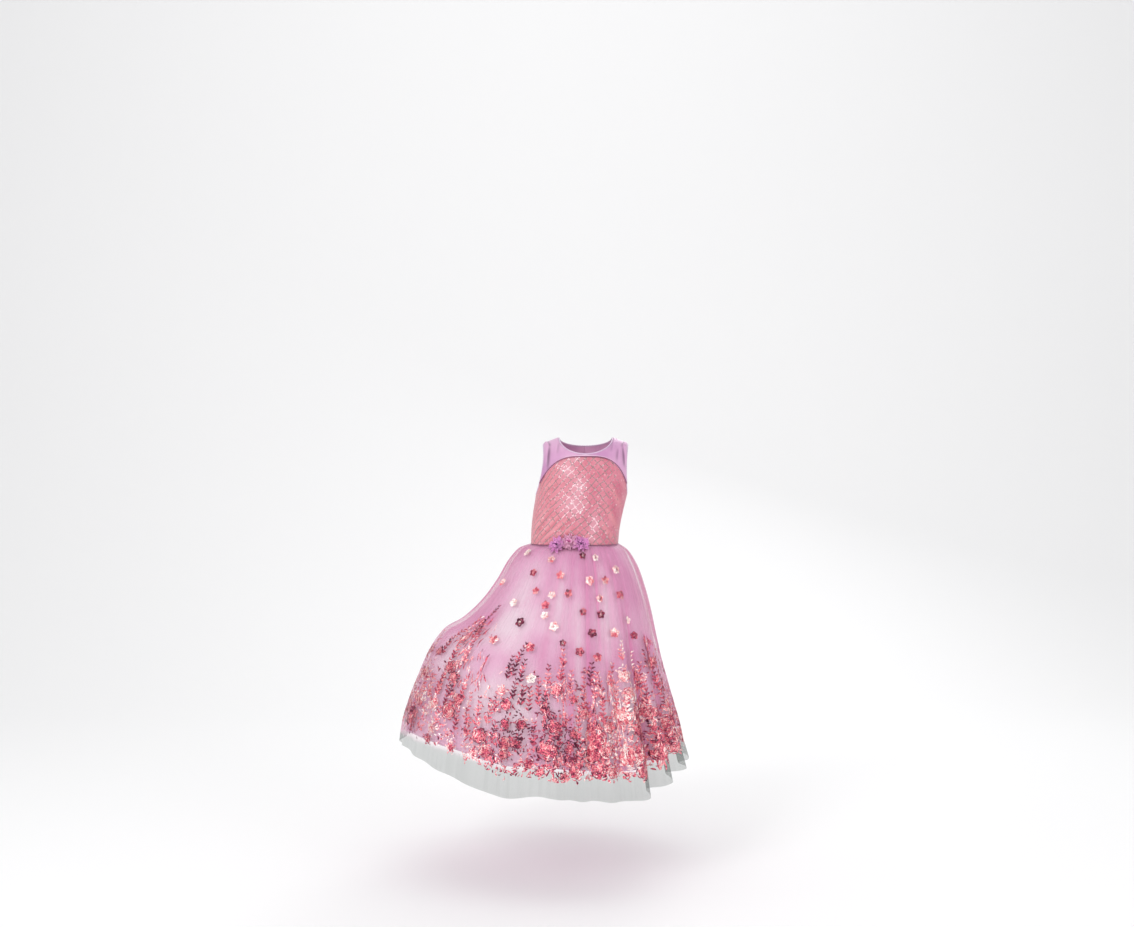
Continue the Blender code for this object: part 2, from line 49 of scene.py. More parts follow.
FLOOR_COLOR = (0.94, 0.94, 0.94)
LAMPS = (
    # name, place, size, watts, aimed at
    ("key", (-1.9, -2.6, 1.5), 1.5, 38, (0, 0, -0.35)),
    ("fill", (2.3, -2.3, 0.3), 2.0, 18, (0, 0, -0.45)),
    ("back", (0.9, 2.3, 1.2), 1.6, 14, (0, 0, -0.30)),
    ("wall", (0.0, 0.6, 3.4), 4.0, 27, (0, 3.2, -0.40)),
)


def add_node(tree, kind, inputs=(), **settings):
    """A shader node with its settings, and its inputs set to values or joined to sockets."""
    made = tree.nodes.new(kind)
    for name, value in settings.items():
        setattr(made, name, value)
    for place, value in dict(inputs).items():
        if isinstance(value, bpy.types.NodeSocket):
            tree.links.new(value, made.inputs[place])
        else:
            made.inputs[place].default_value = value
    return made


def new_material(name, color, **inputs):
    """(material, node tree, Principled shader) with values that are the same all over."""
    made = bpy.data.materials.new(name)
    made.use_nodes = True
    tree = made.node_tree
    shader = tree.nodes["Principled BSDF"]
    shader.inputs["Base Color"].default_value = (*color, 1)
    for socket, value in inputs.items():
        shader.inputs[socket.replace("_", " ")].default_value = value
    return made, tree, shader


def grid_faces(rows, columns, around=False):
    """Quads between neighbouring rows and columns of a grid of points, as an array."""
    row = np.arange(rows - 1)[:, None]
    column = np.arange(columns if around else columns - 1)[None, :]
    after = (column + 1) % columns
    corners = [row * columns + column, row * columns + after]
    corners += [(row + 1) * columns + after, (row + 1) * columns + column]
    return np.stack(corners, axis=-1).reshape(-1, 4)


def add_piece(name, points, faces, material, uv=None, tints=(), slot=None, stands_for=()):
    """A mesh of points and faces as one smooth piece on the dress.

    uv holds one place on the flat cloth for each point, in metres. tints holds named attributes,
    one value for each point. What stands for None is part of the studio.
    """
    mesh = bpy.data.meshes.new(name)
    mesh.from_pydata(points.reshape(-1, 3).tolist(), [], [list(f) for f in faces])
    mesh.polygons.foreach_set("use_smooth", np.ones(len(mesh.polygons), bool))
    if uv is not None:
        corners = np.empty(len(mesh.loops), np.int32)
        mesh.loops.foreach_get("vertex_index", corners)
        layer = mesh.uv_layers.new(name="cloth")
        layer.data.foreach_set("uv", uv.reshape(-1, 2)[corners].astype(np.float32).ravel())
    for title, values in dict(tints).items():
        layer = mesh.attributes.new(title, "FLOAT", "POINT")
        layer.data.foreach_set("value", values.astype(np.float32).ravel())
    mesh.materials.append(material)
    made = bpy.data.objects.new(name, mesh)
    bpy.context.scene.collection.objects.link(made)
    if stands_for is not None:
        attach(made, "root")
        if stands_for:
            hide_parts(*stands_for)
    return made
def noise(tree, place, scale, detail):
    """Value of a noise texture at a place on the cloth, or at the point itself if place is None."""
    inputs = {} if place is None else {"Vector": place}
    return add_node(tree, "ShaderNodeTexNoise", {**inputs, "Scale": scale, "Detail": detail}).outputs[0]


def emboss(tree, shader, height, strength, distance):
    """Raises a surface by a height, through a Bump node on its shader's normal."""
    made = add_node(tree, "ShaderNodeBump", {"Strength": strength, "Distance": distance, "Height": height})
    tree.links.new(made.outputs[0], shader.inputs["Normal"])
def studio_sweep():
    """Floor and wall: a level line, a quarter circle and an upright line, carried along X."""
    turn = np.linspace(0, math.pi / 2, 25)
    bend_y = WALL_Y - SWEEP_RADIUS + SWEEP_RADIUS * np.sin(turn)
    bend_z = FLOOR_Z + SWEEP_RADIUS * (1 - np.cos(turn))
    y = np.concatenate([[-9.0], bend_y, [WALL_Y]])
    z = np.concatenate([[FLOOR_Z], bend_z, [5.0]])
    x = np.linspace(-9, 9, 2)[None, :]
    points = np.stack(np.broadcast_arrays(x, y[:, None], z[:, None]), axis=-1)
    material, tree, shader = new_material("pale_studio", FLOOR_COLOR, Roughness=0.9)
    emboss(tree, shader, noise(tree, None, 90.0, 3.0), 0.05, 0.001)
    add_piece("studio_floor", points, grid_faces(len(y), 2), material, stands_for=None)


def studio_lamp(name, place, size, watts, aim):
    """Round area lamp at a place, turned towards the point that it is aimed at."""
    lamp = bpy.data.lights.new(name, "AREA")
    lamp.shape, lamp.size, lamp.energy = "DISK", size, watts
    made = bpy.data.objects.new(name, lamp)
    made.location = place
    made.rotation_euler = (Vector(aim) - Vector(place)).to_track_quat("-Z", "Y").to_euler()
    bpy.context.scene.collection.objects.link(made)


studio_sweep()
for lamp in LAMPS:
    studio_lamp(*lamp)
world = bpy.data.worlds.new("studio_air")
world.use_nodes = True
world.node_tree.nodes["Background"].inputs["Color"].default_value = (0.99, 0.99, 1.0, 1)
world.node_tree.nodes["Background"].inputs["Strength"].default_value = 0.70
bpy.context.scene.world = world
bpy.context.scene.view_settings.view_transform = "Standard"
camera = bpy.data.cameras.new("camera")
camera.sensor_fit, camera.sensor_width = "HORIZONTAL", 1000 * SENSOR
camera.lens = 1000 * SENSOR * FOCAL_PIXELS / PHOTO_WIDTH
camera.clip_end = 50
stand = bpy.data.objects.new("camera", camera)
stand.location, stand.rotation_euler = CAMERA_AT, (math.pi / 2, 0, 0)
bpy.context.scene.collection.objects.link(stand)
bpy.context.scene.camera = stand


# Front of the bodice: a rose knit panel printed with a silvery foil lattice, cut away under a
# curved seam, and sewn to the back at both sides. It pulls into slanting creases at the waist.
SEAM_GAP = 0.0003
QUARTER = math.pi / 2
WAIST_Z = -0.2345


def table(columns, rows):
    """A table with named columns and one row for each section, fold or crease."""
    return np.array(rows, dtype=[(name, float) for name in columns.split()])


TORSO = table("height lean half_width front back", [
    (WAIST_Z, -0.0263, 0.0997, 0.0760, 0.0700),
    (-0.1990, -0.0240, 0.1008, 0.0775, 0.0700),
    (-0.1600, -0.0180, 0.1026, 0.0800, 0.0715),
    (-0.1250, -0.0110, 0.1040, 0.0810, 0.0730),
    (-0.0660, -0.0045, 0.1080, 0.0780, 0.0740),
    (0.0200, 0.0000, 0.1180, 0.0740, 0.0720),
])
SQUARENESS, SHOULDER_ROUND = 2.5, 0.070
NECK_ACROSS, NECK_Z = 0.543, 0.0070
TIP_ACROSS, TIP_Z = 0.816, -0.0050
SHOULDER_SLOPE = (TIP_Z - NECK_Z) / (TIP_ACROSS - NECK_ACROSS)
ARMHOLE_DEPTH, ARMHOLE_FULLNESS = 0.1190, 1.05
ARMHOLE_BEND = math.acos(TIP_ACROSS ** (SQUARENESS / 2))
ARCH_TURN, ARCH_TOP, ARCH_POWER = math.radians(52), -0.0358, 3.3
BODICE_CLOTH = 0.0014
# Creases of the front: both ends (x, z), half width and height in metres
FRONT_CREASES = table("x0 z0 x1 z1 width height", [
    (-0.118, -0.226, -0.062, -0.165, 0.0045, 0.0014),
    (-0.108, -0.231, -0.040, -0.172, 0.0040, 0.0012),
    (-0.092, -0.232, -0.030, -0.192, 0.0040, 0.0010),
    (-0.119, -0.205, -0.085, -0.150, 0.0050, 0.0012),
    (0.064, -0.226, 0.030, -0.180, 0.0055, 0.0009),
    (0.070, -0.200, 0.040, -0.140, 0.0060, 0.0010),
    (0.078, -0.150, 0.052, -0.100, 0.0060, 0.0010),
    (-0.096, -0.110, -0.066, -0.088, 0.0050, 0.0009),
    (-0.020, -0.231, 0.010, -0.205, 0.0050, 0.0006),
])


def follow(knots, values, at):
    """Smooth curve through the values at the knots: cubic pieces with matching slopes."""
    at = np.clip(at, knots[0], knots[-1])
    slopes = np.gradient(values, knots)
    i = np.clip(np.searchsorted(knots, at, side="right") - 1, 0, len(knots) - 2)
    span = knots[i + 1] - knots[i]
    t = (at - knots[i]) / span
    start = (1 + 2 * t) * (1 - t) ** 2 * values[i] + t * (1 - t) ** 2 * span * slopes[i]
    end = t**2 * (3 - 2 * t) * values[i + 1] - t**2 * (1 - t) * span * slopes[i + 1]
    return start + end


def unit(vectors):
    return vectors / np.linalg.norm(vectors, axis=-1, keepdims=True)


def torso_depth_squared(x, z, side):
    """Square of the torso's depth at x and z: a superellipse across, domed towards the shoulders."""
    lean = follow(TORSO["height"], TORSO["lean"], z)
    half = follow(TORSO["height"], TORSO["half_width"], z)
    depth = follow(TORSO["height"], TORSO["front" if side < 0 else "back"], z)
    across = np.abs(x - lean) / half
    under = (NECK_Z + SHOULDER_SLOPE * (across - NECK_ACROSS) - z) / SHOULDER_ROUND
    dome = 1 - (1 - np.minimum(under, 1)) ** 2
    rest = 1 - across**SQUARENESS
    return depth**2 * dome * np.sign(rest) * np.abs(rest) ** (2 / SQUARENESS)


def torso(across, z, side):
    """(points, outward normals) on the torso. across runs from -1 to 1, side is -1 in front."""
    step = 0.0002
    x = follow(TORSO["height"], TORSO["lean"], z)
    x = x + across * follow(TORSO["height"], TORSO["half_width"], z)
    square = torso_depth_squared(x, z, side)
    slope_x = torso_depth_squared(x + step, z, side) - torso_depth_squared(x - step, z, side)
    slope_z = torso_depth_squared(x, z + step, side) - torso_depth_squared(x, z - step, side)
    y = side * np.sqrt(np.maximum(square, 0))
    normals = np.stack([-slope_x, 4 * step * y, -slope_z], axis=-1)
    return np.stack([x, y, z + 0 * x], axis=-1), unit(normals)


def armhole(turn):
    """(across, z) on the armhole's edge. turn is 0 at the shoulder, a quarter turn at the side seam."""
    bend = ARMHOLE_BEND * np.cos(turn) ** ARMHOLE_FULLNESS
    return np.cos(bend) ** (2 / SQUARENESS), TIP_Z - ARMHOLE_DEPTH * np.sin(turn)


def neckline(turn, depth):
    """(across, z) on the neckline, a quarter of an ellipse from the shoulder to the middle."""
    return NECK_ACROSS * np.cos(turn), NECK_Z - depth * np.sin(turn)


ARCH_ACROSS, ARCH_END = armhole(ARCH_TURN)


def arch(across):
    """Height of the curved seam between the yoke and the front panel."""
    return ARCH_TOP - (ARCH_TOP - ARCH_END) * np.abs(across / ARCH_ACROSS) ** ARCH_POWER


def crease_height(points, creases):
    """Sum of soft ridges: each a Gaussian across its line, that fades at both of the line's ends."""
    x, z = points[..., 0], points[..., 2]
    height = 0 * x
    for crease in creases:
        run = np.array([crease["x1"] - crease["x0"], crease["z1"] - crease["z0"]])
        length = np.hypot(*run)
        along = ((x - crease["x0"]) * run[0] + (z - crease["z0"]) * run[1]) / length**2
        aside = ((x - crease["x0"]) * run[1] - (z - crease["z0"]) * run[0]) / length
        ends = np.exp(-((2.2 * (np.clip(along, -1, 2) - 0.5)) ** 4))
        height = height + crease["height"] * np.exp(-((aside / crease["width"]) ** 2)) * ends
    return height


def edge_fade(shape, rows=4, columns=4):
    """1 inside a grid and 0 on its rim, so that creases leave the seams where they are."""
    row = np.minimum(np.arange(shape[0]), np.arange(shape[0])[::-1])[:, None] / rows
    column = np.minimum(np.arange(shape[1]), np.arange(shape[1])[::-1])[None, :] / columns
    return np.clip(row, 0, 1) * np.clip(column, 0, 1)


def flat_places(points):
    """Place of each point on the flat cloth: lengths along its row from the middle, and its height."""
    steps = np.linalg.norm(np.diff(points, axis=1), axis=-1)
    along = np.concatenate([np.zeros((len(points), 1)), np.cumsum(steps, axis=1)], axis=1)
    along = along - along[:, along.shape[1] // 2, None]
    return np.stack([along, points[..., 2] - WAIST_Z], axis=-1)


def calculate(tree, operation, *values):
    return add_node(tree, "ShaderNodeMath", dict(enumerate(values)), operation=operation).outputs[0]


def attribute(tree, name):
    return add_node(tree, "ShaderNodeAttribute", attribute_name=name).outputs["Fac"]


def thread_group():
    """Node group of a plain weave: two crossed sine waves give the height of warp and weft."""
    group = bpy.data.node_groups.new("thread_weave", "ShaderNodeTree")
    for title, way, kind in (("Place", "INPUT", "Vector"), ("Threads", "INPUT", "Float")):
        group.interface.new_socket(title, in_out=way, socket_type=f"NodeSocket{kind}")
    for title in ("Height", "Slub"):
        group.interface.new_socket(title, in_out="OUTPUT", socket_type="NodeSocketFloat")
    start, end = group.nodes.new("NodeGroupInput"), group.nodes.new("NodeGroupOutput")
    place = add_node(group, "ShaderNodeSeparateXYZ", {0: start.outputs["Place"]})
    turns = [calculate(group, "MULTIPLY", place.outputs[axis], start.outputs["Threads"]) for axis in (0, 1)]
    waves = [calculate(group, "SINE", turn) for turn in turns]
    group.links.new(calculate(group, "MULTIPLY", *waves), end.inputs["Height"])
    group.links.new(noise(group, start.outputs["Place"], 160.0, 4.0), end.inputs["Slub"])
    return group


THREAD_WEAVE = thread_group()


def weave(tree, shader, threads, depth, strength):
    """Places the weave on a material as a bump. Gives the place on the flat cloth, the height of
    the threads, and the value that tells slubs from plain cloth."""
    place = add_node(tree, "ShaderNodeUVMap", uv_map="cloth").outputs[0]
    group = add_node(tree, "ShaderNodeGroup", node_tree=THREAD_WEAVE)
    tree.links.new(place, group.inputs["Place"])
    group.inputs["Threads"].default_value = 2 * math.pi * threads
    emboss(tree, shader, group.outputs["Height"], strength, depth)
    return place, group.outputs["Height"], group.outputs["Slub"]


def mix_colors(tree, factor, first, second):
    made = add_node(tree, "ShaderNodeMix", data_type="RGBA")
    for socket, value in ((made.inputs[0], factor), (made.inputs[6], first), (made.inputs[7], second)):
        if isinstance(value, bpy.types.NodeSocket):
            tree.links.new(value, socket)
        else:
            socket.default_value = (*value, 1) if isinstance(value, tuple) else value
    return made.outputs[2]


def remap(tree, value, low, high, out_low=0.0, out_high=1.0):
    """Eases a value from one range into another."""
    inputs = {0: value, 1: low, 2: high, 3: out_low, 4: out_high}
    return add_node(tree, "ShaderNodeMapRange", inputs, interpolation_type="SMOOTHSTEP").outputs[0]


LATTICE_PITCH, LATTICE_LINE = 0.0134, 0.0021
LATTICE_TILT = math.radians(46)
# Where the foil catches the light: middle (x, z), and how far it reaches across and up
GLINTS = table("x z wide tall", [
    (-0.045, -0.066, 0.018, 0.020), (-0.030, -0.142, 0.024, 0.028), (-0.022, -0.041, 0.016, 0.007),
    (0.017, -0.190, 0.012, 0.024), (-0.016, -0.100, 0.014, 0.018), (0.006, -0.222, 0.012, 0.008),
])


def lattice_material():
    """Rose knit under a foil lattice: two sets of slanting lines, bright or dull where they catch light."""
    material, tree, shader = new_material(
        "rose_foil_knit", (0.73, 0.27, 0.36), Sheen_Weight=0.25, Sheen_Roughness=0.5
    )
    place, _, slub = weave(tree, shader, 700, 0.0003, 0.4)
    glow, worn, side = (attribute(tree, name) for name in ("glint", "worn", "side"))
    crease_shadow_paint, crease_highlight_paint = attribute(tree, "crease_shadow_paint"), attribute(tree, "crease_highlight_paint")
    axes = add_node(tree, "ShaderNodeSeparateXYZ", {0: place})
    rise = calculate(tree, "MULTIPLY", axes.outputs[1], math.cos(LATTICE_TILT) / LATTICE_PITCH)
    shift = remap(tree, noise(tree, place, 22.0, 1.0), 0.3, 0.7, -0.12, 0.12)
    breaks = noise(tree, place, 170.0, 2.0)
    crumbs = noise(tree, place, 620.0, 1.0)
    whole = []
    for hand, keep, near, far in ((-1, 0.56, -0.02, 0.10), (1, 0.47, 0.11, 0.0)):
        run = calculate(tree, "MULTIPLY", axes.outputs[0], hand * math.sin(LATTICE_TILT) / LATTICE_PITCH)
        both = calculate(tree, "ADD", calculate(tree, "ADD", run, rise), shift)
        nearest = calculate(tree, "PINGPONG", both, 0.5)
        width = LATTICE_LINE / LATTICE_PITCH / 2
        line = remap(tree, nearest, width * 0.55, width * 1.35, 1.0, 0.0)
        ground = calculate(tree, "SUBTRACT", breaks, calculate(tree, "MULTIPLY", glow, 0.10))
        ground = calculate(tree, "ADD", ground, calculate(tree, "MULTIPLY", worn, 0.22))
        ground = calculate(tree, "ADD", ground, remap(tree, side, 0.25, 0.70, near, far))
        sound = remap(tree, ground, keep + 0.06, keep + 0.16, 1.0, 0.0)
        whole.append(calculate(tree, "MULTIPLY", line, sound))
    foil = calculate(tree, "MAXIMUM", *whole)
    flecks = add_node(tree, "ShaderNodeTexVoronoi", {"Vector": place, "Scale": 330.0}, feature="F1")
    chance = add_node(tree, "ShaderNodeSeparateColor", {0: flecks.outputs["Color"]})
    lit = calculate(tree, "ADD", glow, remap(tree, chance.outputs[0], 0.0, 1.0, -0.70, 0.30))
    glint = remap(tree, lit, 0.15, 0.45)
    stray = remap(tree, chance.outputs[1], 0.984, 0.988)
    cloth = mix_colors(tree, side, (0.73, 0.21, 0.27), (0.57, 0.115, 0.20))
    slubs = mix_colors(tree, side, (0.79, 0.28, 0.33), (0.64, 0.18, 0.26))
    cloth = mix_colors(tree, remap(tree, slub, 0.3, 0.7), cloth, slubs)
    paler = remap(tree, noise(tree, place, 30.0, 2.0), 0.35, 0.70)
    # Tints over the cloth: paler is tone that differs at random; the glint tint is a painted highlight; the
    # crease tints are a painted shadow beside each crease and a painted highlight on its top
    for much, share, tint in (
        (paler, 0.55, (0.78, 0.30, 0.37)),
        (glow, 0.60, (0.78, 0.43, 0.50)),
        (crease_shadow_paint, 0.45, (0.56, 0.12, 0.17)),
        (crease_highlight_paint, 0.50, (0.90, 0.40, 0.43)),
    ):
        cloth = mix_colors(tree, calculate(tree, "MULTIPLY", much, share), cloth, tint)
    dull = mix_colors(tree, remap(tree, crumbs, 0.35, 0.65), (0.24, 0.15, 0.16), (0.42, 0.29, 0.29))
    metal = mix_colors(tree, glint, dull, (0.97, 0.68, 0.74))
    color = mix_colors(tree, foil, cloth, metal)
    spark = calculate(tree, "MULTIPLY", stray, remap(tree, glow, 0.0, 0.3, 0.35, 1.0))
    color = mix_colors(tree, spark, color, (1.0, 0.90, 0.92))
    # Painted shadow of the waist seam: a dark band along the panel's bottom edge
    seam = remap(tree, axes.outputs[1], 0.0006, 0.0016, 1.0, 0.0)
    color = mix_colors(tree, seam, color, (0.26, 0.08, 0.14))
    tree.links.new(color, shader.inputs["Base Color"])
    tree.links.new(remap(tree, foil, 0, 1, 0.62, 0.32), shader.inputs["Roughness"])
    tree.links.new(calculate(tree, "MULTIPLY", foil, 0.25), shader.inputs["Metallic"])
    return material


def cloth_piece(name, node, slot, points, material, thickness, order=1, **given):
    """A sheet over a grid of points, thick inwards from its outer face. Order -1 turns faces round."""
    faces = grid_faces(*points.shape[:2])[:, ::order]
    made = add_piece(name, points, faces, material, slot=slot, stands_for=[node], **given)
    if thickness:
        solid = made.modifiers.new("thickness", "SOLIDIFY")
        solid.thickness, solid.offset = thickness, -1
    return made


# A crease this high gets the full painted highlight, and the painted shadow beside it lies this far off
CREASE_FULL = 0.0011
CREASE_SHADOW_OFFSET = np.array([0.0060, 0, -0.0045])


def front_outline():
    """(across, z) along the top edge of the front: underarm, arch and underarm, and which is arch."""
    places = ARCH_ACROSS * np.sin(np.linspace(0, QUARTER, 61))
    side_across, side_z = armhole(np.linspace(ARCH_TURN, QUARTER, 25)[1:])
    across = np.concatenate([places, side_across])
    top = np.concatenate([arch(places), side_z])
    return np.concatenate([-across[:0:-1], across]), np.concatenate([top[:0:-1], top])


def front_panel():
    """Surface over (across, rise): rise 0 on the waist seam, 1 on the arch or the armhole's edge."""
    across, top = front_outline()
    rise = np.linspace(0, 1, 81)[:, None]
    points, normals = torso(across + 0 * rise, WAIST_Z + (top - SEAM_GAP - WAIST_Z) * rise, -1)
    height = crease_height(points, FRONT_CREASES) * edge_fade(points.shape[:2], 6, 10)
    points = points + normals * height[..., None]
    points[:, [0, -1], 1] -= SEAM_GAP / 2
    x, z = points[..., 0], points[..., 2]
    glint = sum(np.exp(-(((x - g["x"]) / g["wide"]) ** 2) - ((z - g["z"]) / g["tall"]) ** 2) for g in GLINTS)
    side = (across + 1) / 2 + 0 * rise
    worn = np.clip((side - 0.76) / 0.16, 0, 1) * np.clip((z + 0.215) / 0.02, 0, 1)
    # Painted highlight on each crease's top, and painted shadow in a band beside it
    crease_highlight_paint = np.clip(height / CREASE_FULL, 0, 1)
    crease_shadow_paint = np.clip(crease_height(points - CREASE_SHADOW_OFFSET, FRONT_CREASES) / CREASE_FULL, 0, 1)
    made = cloth_piece(
        "bodice_front_knit", "bodice_front", "rose_foil_knit", points, lattice_material(), BODICE_CLOTH,
        uv=flat_places(points),
        tints={"glint": np.minimum(glint, 1), "side": side, "worn": worn, "crease_highlight_paint": crease_highlight_paint, "crease_shadow_paint": crease_shadow_paint},
    )


front_panel()


# Yoke with both shoulder straps: lilac satin, cut as one piece between the neck, the armholes
# and the curved seam. Soft upright creases run down each strap from the shoulder.
FRONT_NECK_DEPTH = 0.0388
STRAP_NECK_SHARE = 0.3
SEAM_FOLD = 0.0034
YOKE_CREASES = table("x0 z0 x1 z1 width height", [
    (-0.0871, -0.0120, -0.0914, -0.0640, 0.0036, 0.0032),
    (-0.0940, -0.0010, -0.0850, -0.0130, 0.0030, 0.0022),
    (-0.0665, -0.0050, -0.0700, -0.0300, 0.0040, 0.0012),
    (0.0865, -0.0140, 0.0895, -0.0600, 0.0034, 0.0028),
    (0.0930, -0.0010, 0.0830, -0.0140, 0.0030, 0.0020),
    (0.0760, -0.0180, 0.0720, -0.0460, 0.0036, 0.0018),
    (0.0640, -0.0030, 0.0600, -0.0260, 0.0040, 0.0012),
])


def ease(t):
    """0 up to nought, 1 from one on, and a smooth rise between them."""
    t = np.clip(t, 0, 1)
    return t * t * (3 - 2 * t)


def smooth(row, reach):
    """Running mean of a row, over so many steps to both sides."""
    width = 2 * reach + 1
    return np.convolve(np.pad(row, reach, mode="edge"), np.ones(width) / width, "valid")
def satin_material(name, dark, light, gloss=0.34, threads=1400):
    """Satin: a close weave, with cloudy light and dark from slubs and handling, painted shade in the valleys
    beside creases, and a painted highlight along a folded seam edge.
    """
    material, tree, shader = new_material(name, light, Sheen_Weight=0.2, Anisotropic=0.4)
    place, _, slub = weave(tree, shader, threads, 0.0001, 0.25)
    clouds = remap(tree, noise(tree, place, 14.0, 3.0), 0.3, 0.7, 0, 0.7)
    cloudy = calculate(tree, "ADD", clouds, calculate(tree, "MULTIPLY", slub, 0.3))
    color = mix_colors(tree, cloudy, dark, light)
    # Painted shade: the crease attribute darkens the valleys beside the creases
    shaded = calculate(tree, "MINIMUM", attribute(tree, "crease"), 0.9)
    color = mix_colors(tree, shaded, color, tuple(0.34 * part for part in dark))
    # Painted highlight: the strip attribute paints a pale line along the folded edge at the seam
    color = mix_colors(tree, attribute(tree, "strip"), color, tuple(0.35 + 0.65 * part for part in light))
    tree.links.new(color, shader.inputs["Base Color"])
    tree.links.new(remap(tree, slub, 0.2, 0.8, gloss - 0.05, gloss + 0.07), shader.inputs["Roughness"])
    return material


LILAC_SATIN = satin_material("lilac_satin", (0.53, 0.23, 0.46), (0.74, 0.42, 0.62))


def yoke():
    """Surface between the neckline and the outer edge, ruled straight across from one to the other."""
    strap_turns = ARCH_TURN * np.linspace(0, 1, 41) ** 1.5
    seam = ARCH_ACROSS * np.cos(np.linspace(0, QUARTER, 61))[1:]
    strap_across, strap_z = armhole(strap_turns)
    low_across = np.concatenate([strap_across, seam])
    low_z = np.concatenate([strap_z, arch(seam)])
    strap_share = STRAP_NECK_SHARE * (strap_turns / ARCH_TURN)
    seam_share = 1 - (1 - STRAP_NECK_SHARE) * seam / ARCH_ACROSS
    turns = QUARTER * np.concatenate([strap_share, seam_share])
    neck_across, neck_z = neckline(turns, FRONT_NECK_DEPTH)
    share = np.concatenate([np.linspace(0, 0.8, 25)[:-1], np.linspace(0.8, 1, 17)])
    across = neck_across[:, None] * (1 - share) + low_across[:, None] * share
    z = neck_z[:, None] * (1 - share) + low_z[:, None] * share
    across = np.concatenate([-across, across[-2::-1]])
    z = np.concatenate([z, z[-2::-1]])
    points, normals = torso(across, z, -1)
    height = crease_height(points, YOKE_CREASES) * edge_fade(points.shape[:2], 2, 4)
    inward = np.sign(points[..., :1]) * np.array([0.0044, 0, 0])
    # Painted shade beside each crease, given to the satin as a tint
    crease_shade_paint = crease_height(points + inward, YOKE_CREASES) - 0.7 * height
    to_seam = np.linalg.norm(points - points[:, -1:], axis=-1)
    rows = np.concatenate([0 * strap_turns, 0 * seam + 1])
    rows = ease(smooth(rows, 6))
    folded = np.concatenate([rows, rows[-2::-1]])[:, None] * (1 - ease((to_seam - SEAM_FOLD) / 0.0012))
    height = height + 0.0005 * folded * ease(to_seam / 0.0008)
    points = points + normals * height[..., None]
    points[[0, -1], :, 1] -= SEAM_GAP / 2
    uv = np.stack([points[..., 0], points[..., 2] - 0.6 * points[..., 1]], axis=-1)
    # The strip tint is a painted highlight along the folded edge at the seam, where the cloth is also raised
    return cloth_piece(
        "yoke_satin", "yoke_front", "lilac_satin", points, LILAC_SATIN, BODICE_CLOTH, -1,
        uv=uv,
        tints={"crease": 0.85 * np.clip(crease_shade_paint / 0.0026, 0, 1), "strip": 0.80 * folded},
    )


yoke_piece = yoke()


# Back of the bodice: two plain satin halves that meet in the middle, with a lapped placket strip
# over the opening. Its closing tape is inside the lap, so no hard piece shows.
BACK_NECK_DEPTH = 0.0190
BACK_CREASES = table("x0 z0 x1 z1 width height", [
    (-0.100, -0.222, -0.040, -0.180, 0.0060, 0.0010),
    (-0.110, -0.180, -0.060, -0.150, 0.0060, 0.0009),
    (0.060, -0.222, 0.020, -0.184, 0.0060, 0.0010),
    (0.080, -0.170, 0.030, -0.140, 0.0060, 0.0009),
    (-0.086, -0.010, -0.070, -0.070, 0.0040, 0.0012),
    (0.086, -0.010, 0.066, -0.070, 0.0040, 0.0012),
])
PLACKET_HALF_WIDTH, PLACKET_GAP, PLACKET_CLOTH = 0.009, 0.0006, 0.0009


def back_half(name, node, hand):
    """Surface ruled from the outer edge (side seam, armhole) to the inner one (middle, neck)."""
    side = np.linspace(WAIST_Z, TIP_Z - ARMHOLE_DEPTH, 31)[:-1]
    hole_across, hole_z = armhole(QUARTER * (1 - np.linspace(0, 1, 60)) ** 1.3)
    outer_across = np.concatenate([0 * side + 1, hole_across])
    outer_z = np.concatenate([side, hole_z])
    neck_across, neck_z = neckline(QUARTER * np.linspace(1, 0, 31) ** 1.3, BACK_NECK_DEPTH)
    share = np.linspace(0, 1, len(outer_z) - len(neck_z) + 1)
    middle_z = WAIST_Z + (neck_z[0] - WAIST_Z) * (0.75 * share + 0.25 * share * (2 - share))
    inner_across = np.concatenate([0 * middle_z, neck_across[1:]])
    inner_z = np.concatenate([middle_z, neck_z[1:]])
    lines = np.linspace(0, 1, 49)
    across = outer_across[:, None] * (1 - lines) + inner_across[:, None] * lines
    z = outer_z[:, None] * (1 - lines) + inner_z[:, None] * lines
    points, normals = torso(hand * across, z, 1)
    height = crease_height(points, BACK_CREASES) * edge_fade(points.shape[:2], 5, 8)
    points = points + normals * height[..., None]
    points[inner_across == 0, -1, 0] += hand * SEAM_GAP / 2
    points[-1, :, 1] += SEAM_GAP / 2
    uv = np.stack([points[..., 0] * 1.2, points[..., 2]], axis=-1)
    made = cloth_piece(name, node, "lilac_satin", points, LILAC_SATIN, BODICE_CLOTH, hand, uv=uv)


def placket():
    """Strip that follows the middle of the back, with its two long edges turned down."""
    levels = np.linspace(WAIST_Z, NECK_Z - BACK_NECK_DEPTH, 70)
    share = np.linspace(-1, 1, 25)
    half = follow(TORSO["height"], TORSO["half_width"], levels)
    points, normals = torso(share * PLACKET_HALF_WIDTH / half[:, None], levels[:, None] + 0 * share, 1)
    rise = PLACKET_GAP + BODICE_CLOTH * (1 - np.abs(share) ** 8) + 0.0003 * np.cos(7 * share) * (1 - share**2)
    points = points + normals * rise[None, :, None]
    uv = np.stack([points[..., 0] * 1.2, points[..., 2]], axis=-1)
    names = ("placket_strip", "back_placket", "lilac_satin")
    made = cloth_piece(*names, points, LILAC_SATIN, PLACKET_CLOTH, -1, uv=uv)


back_half("back_half_left", "bodice_back_left", -1)
back_half("back_half_right", "bodice_back_right", 1)
placket()


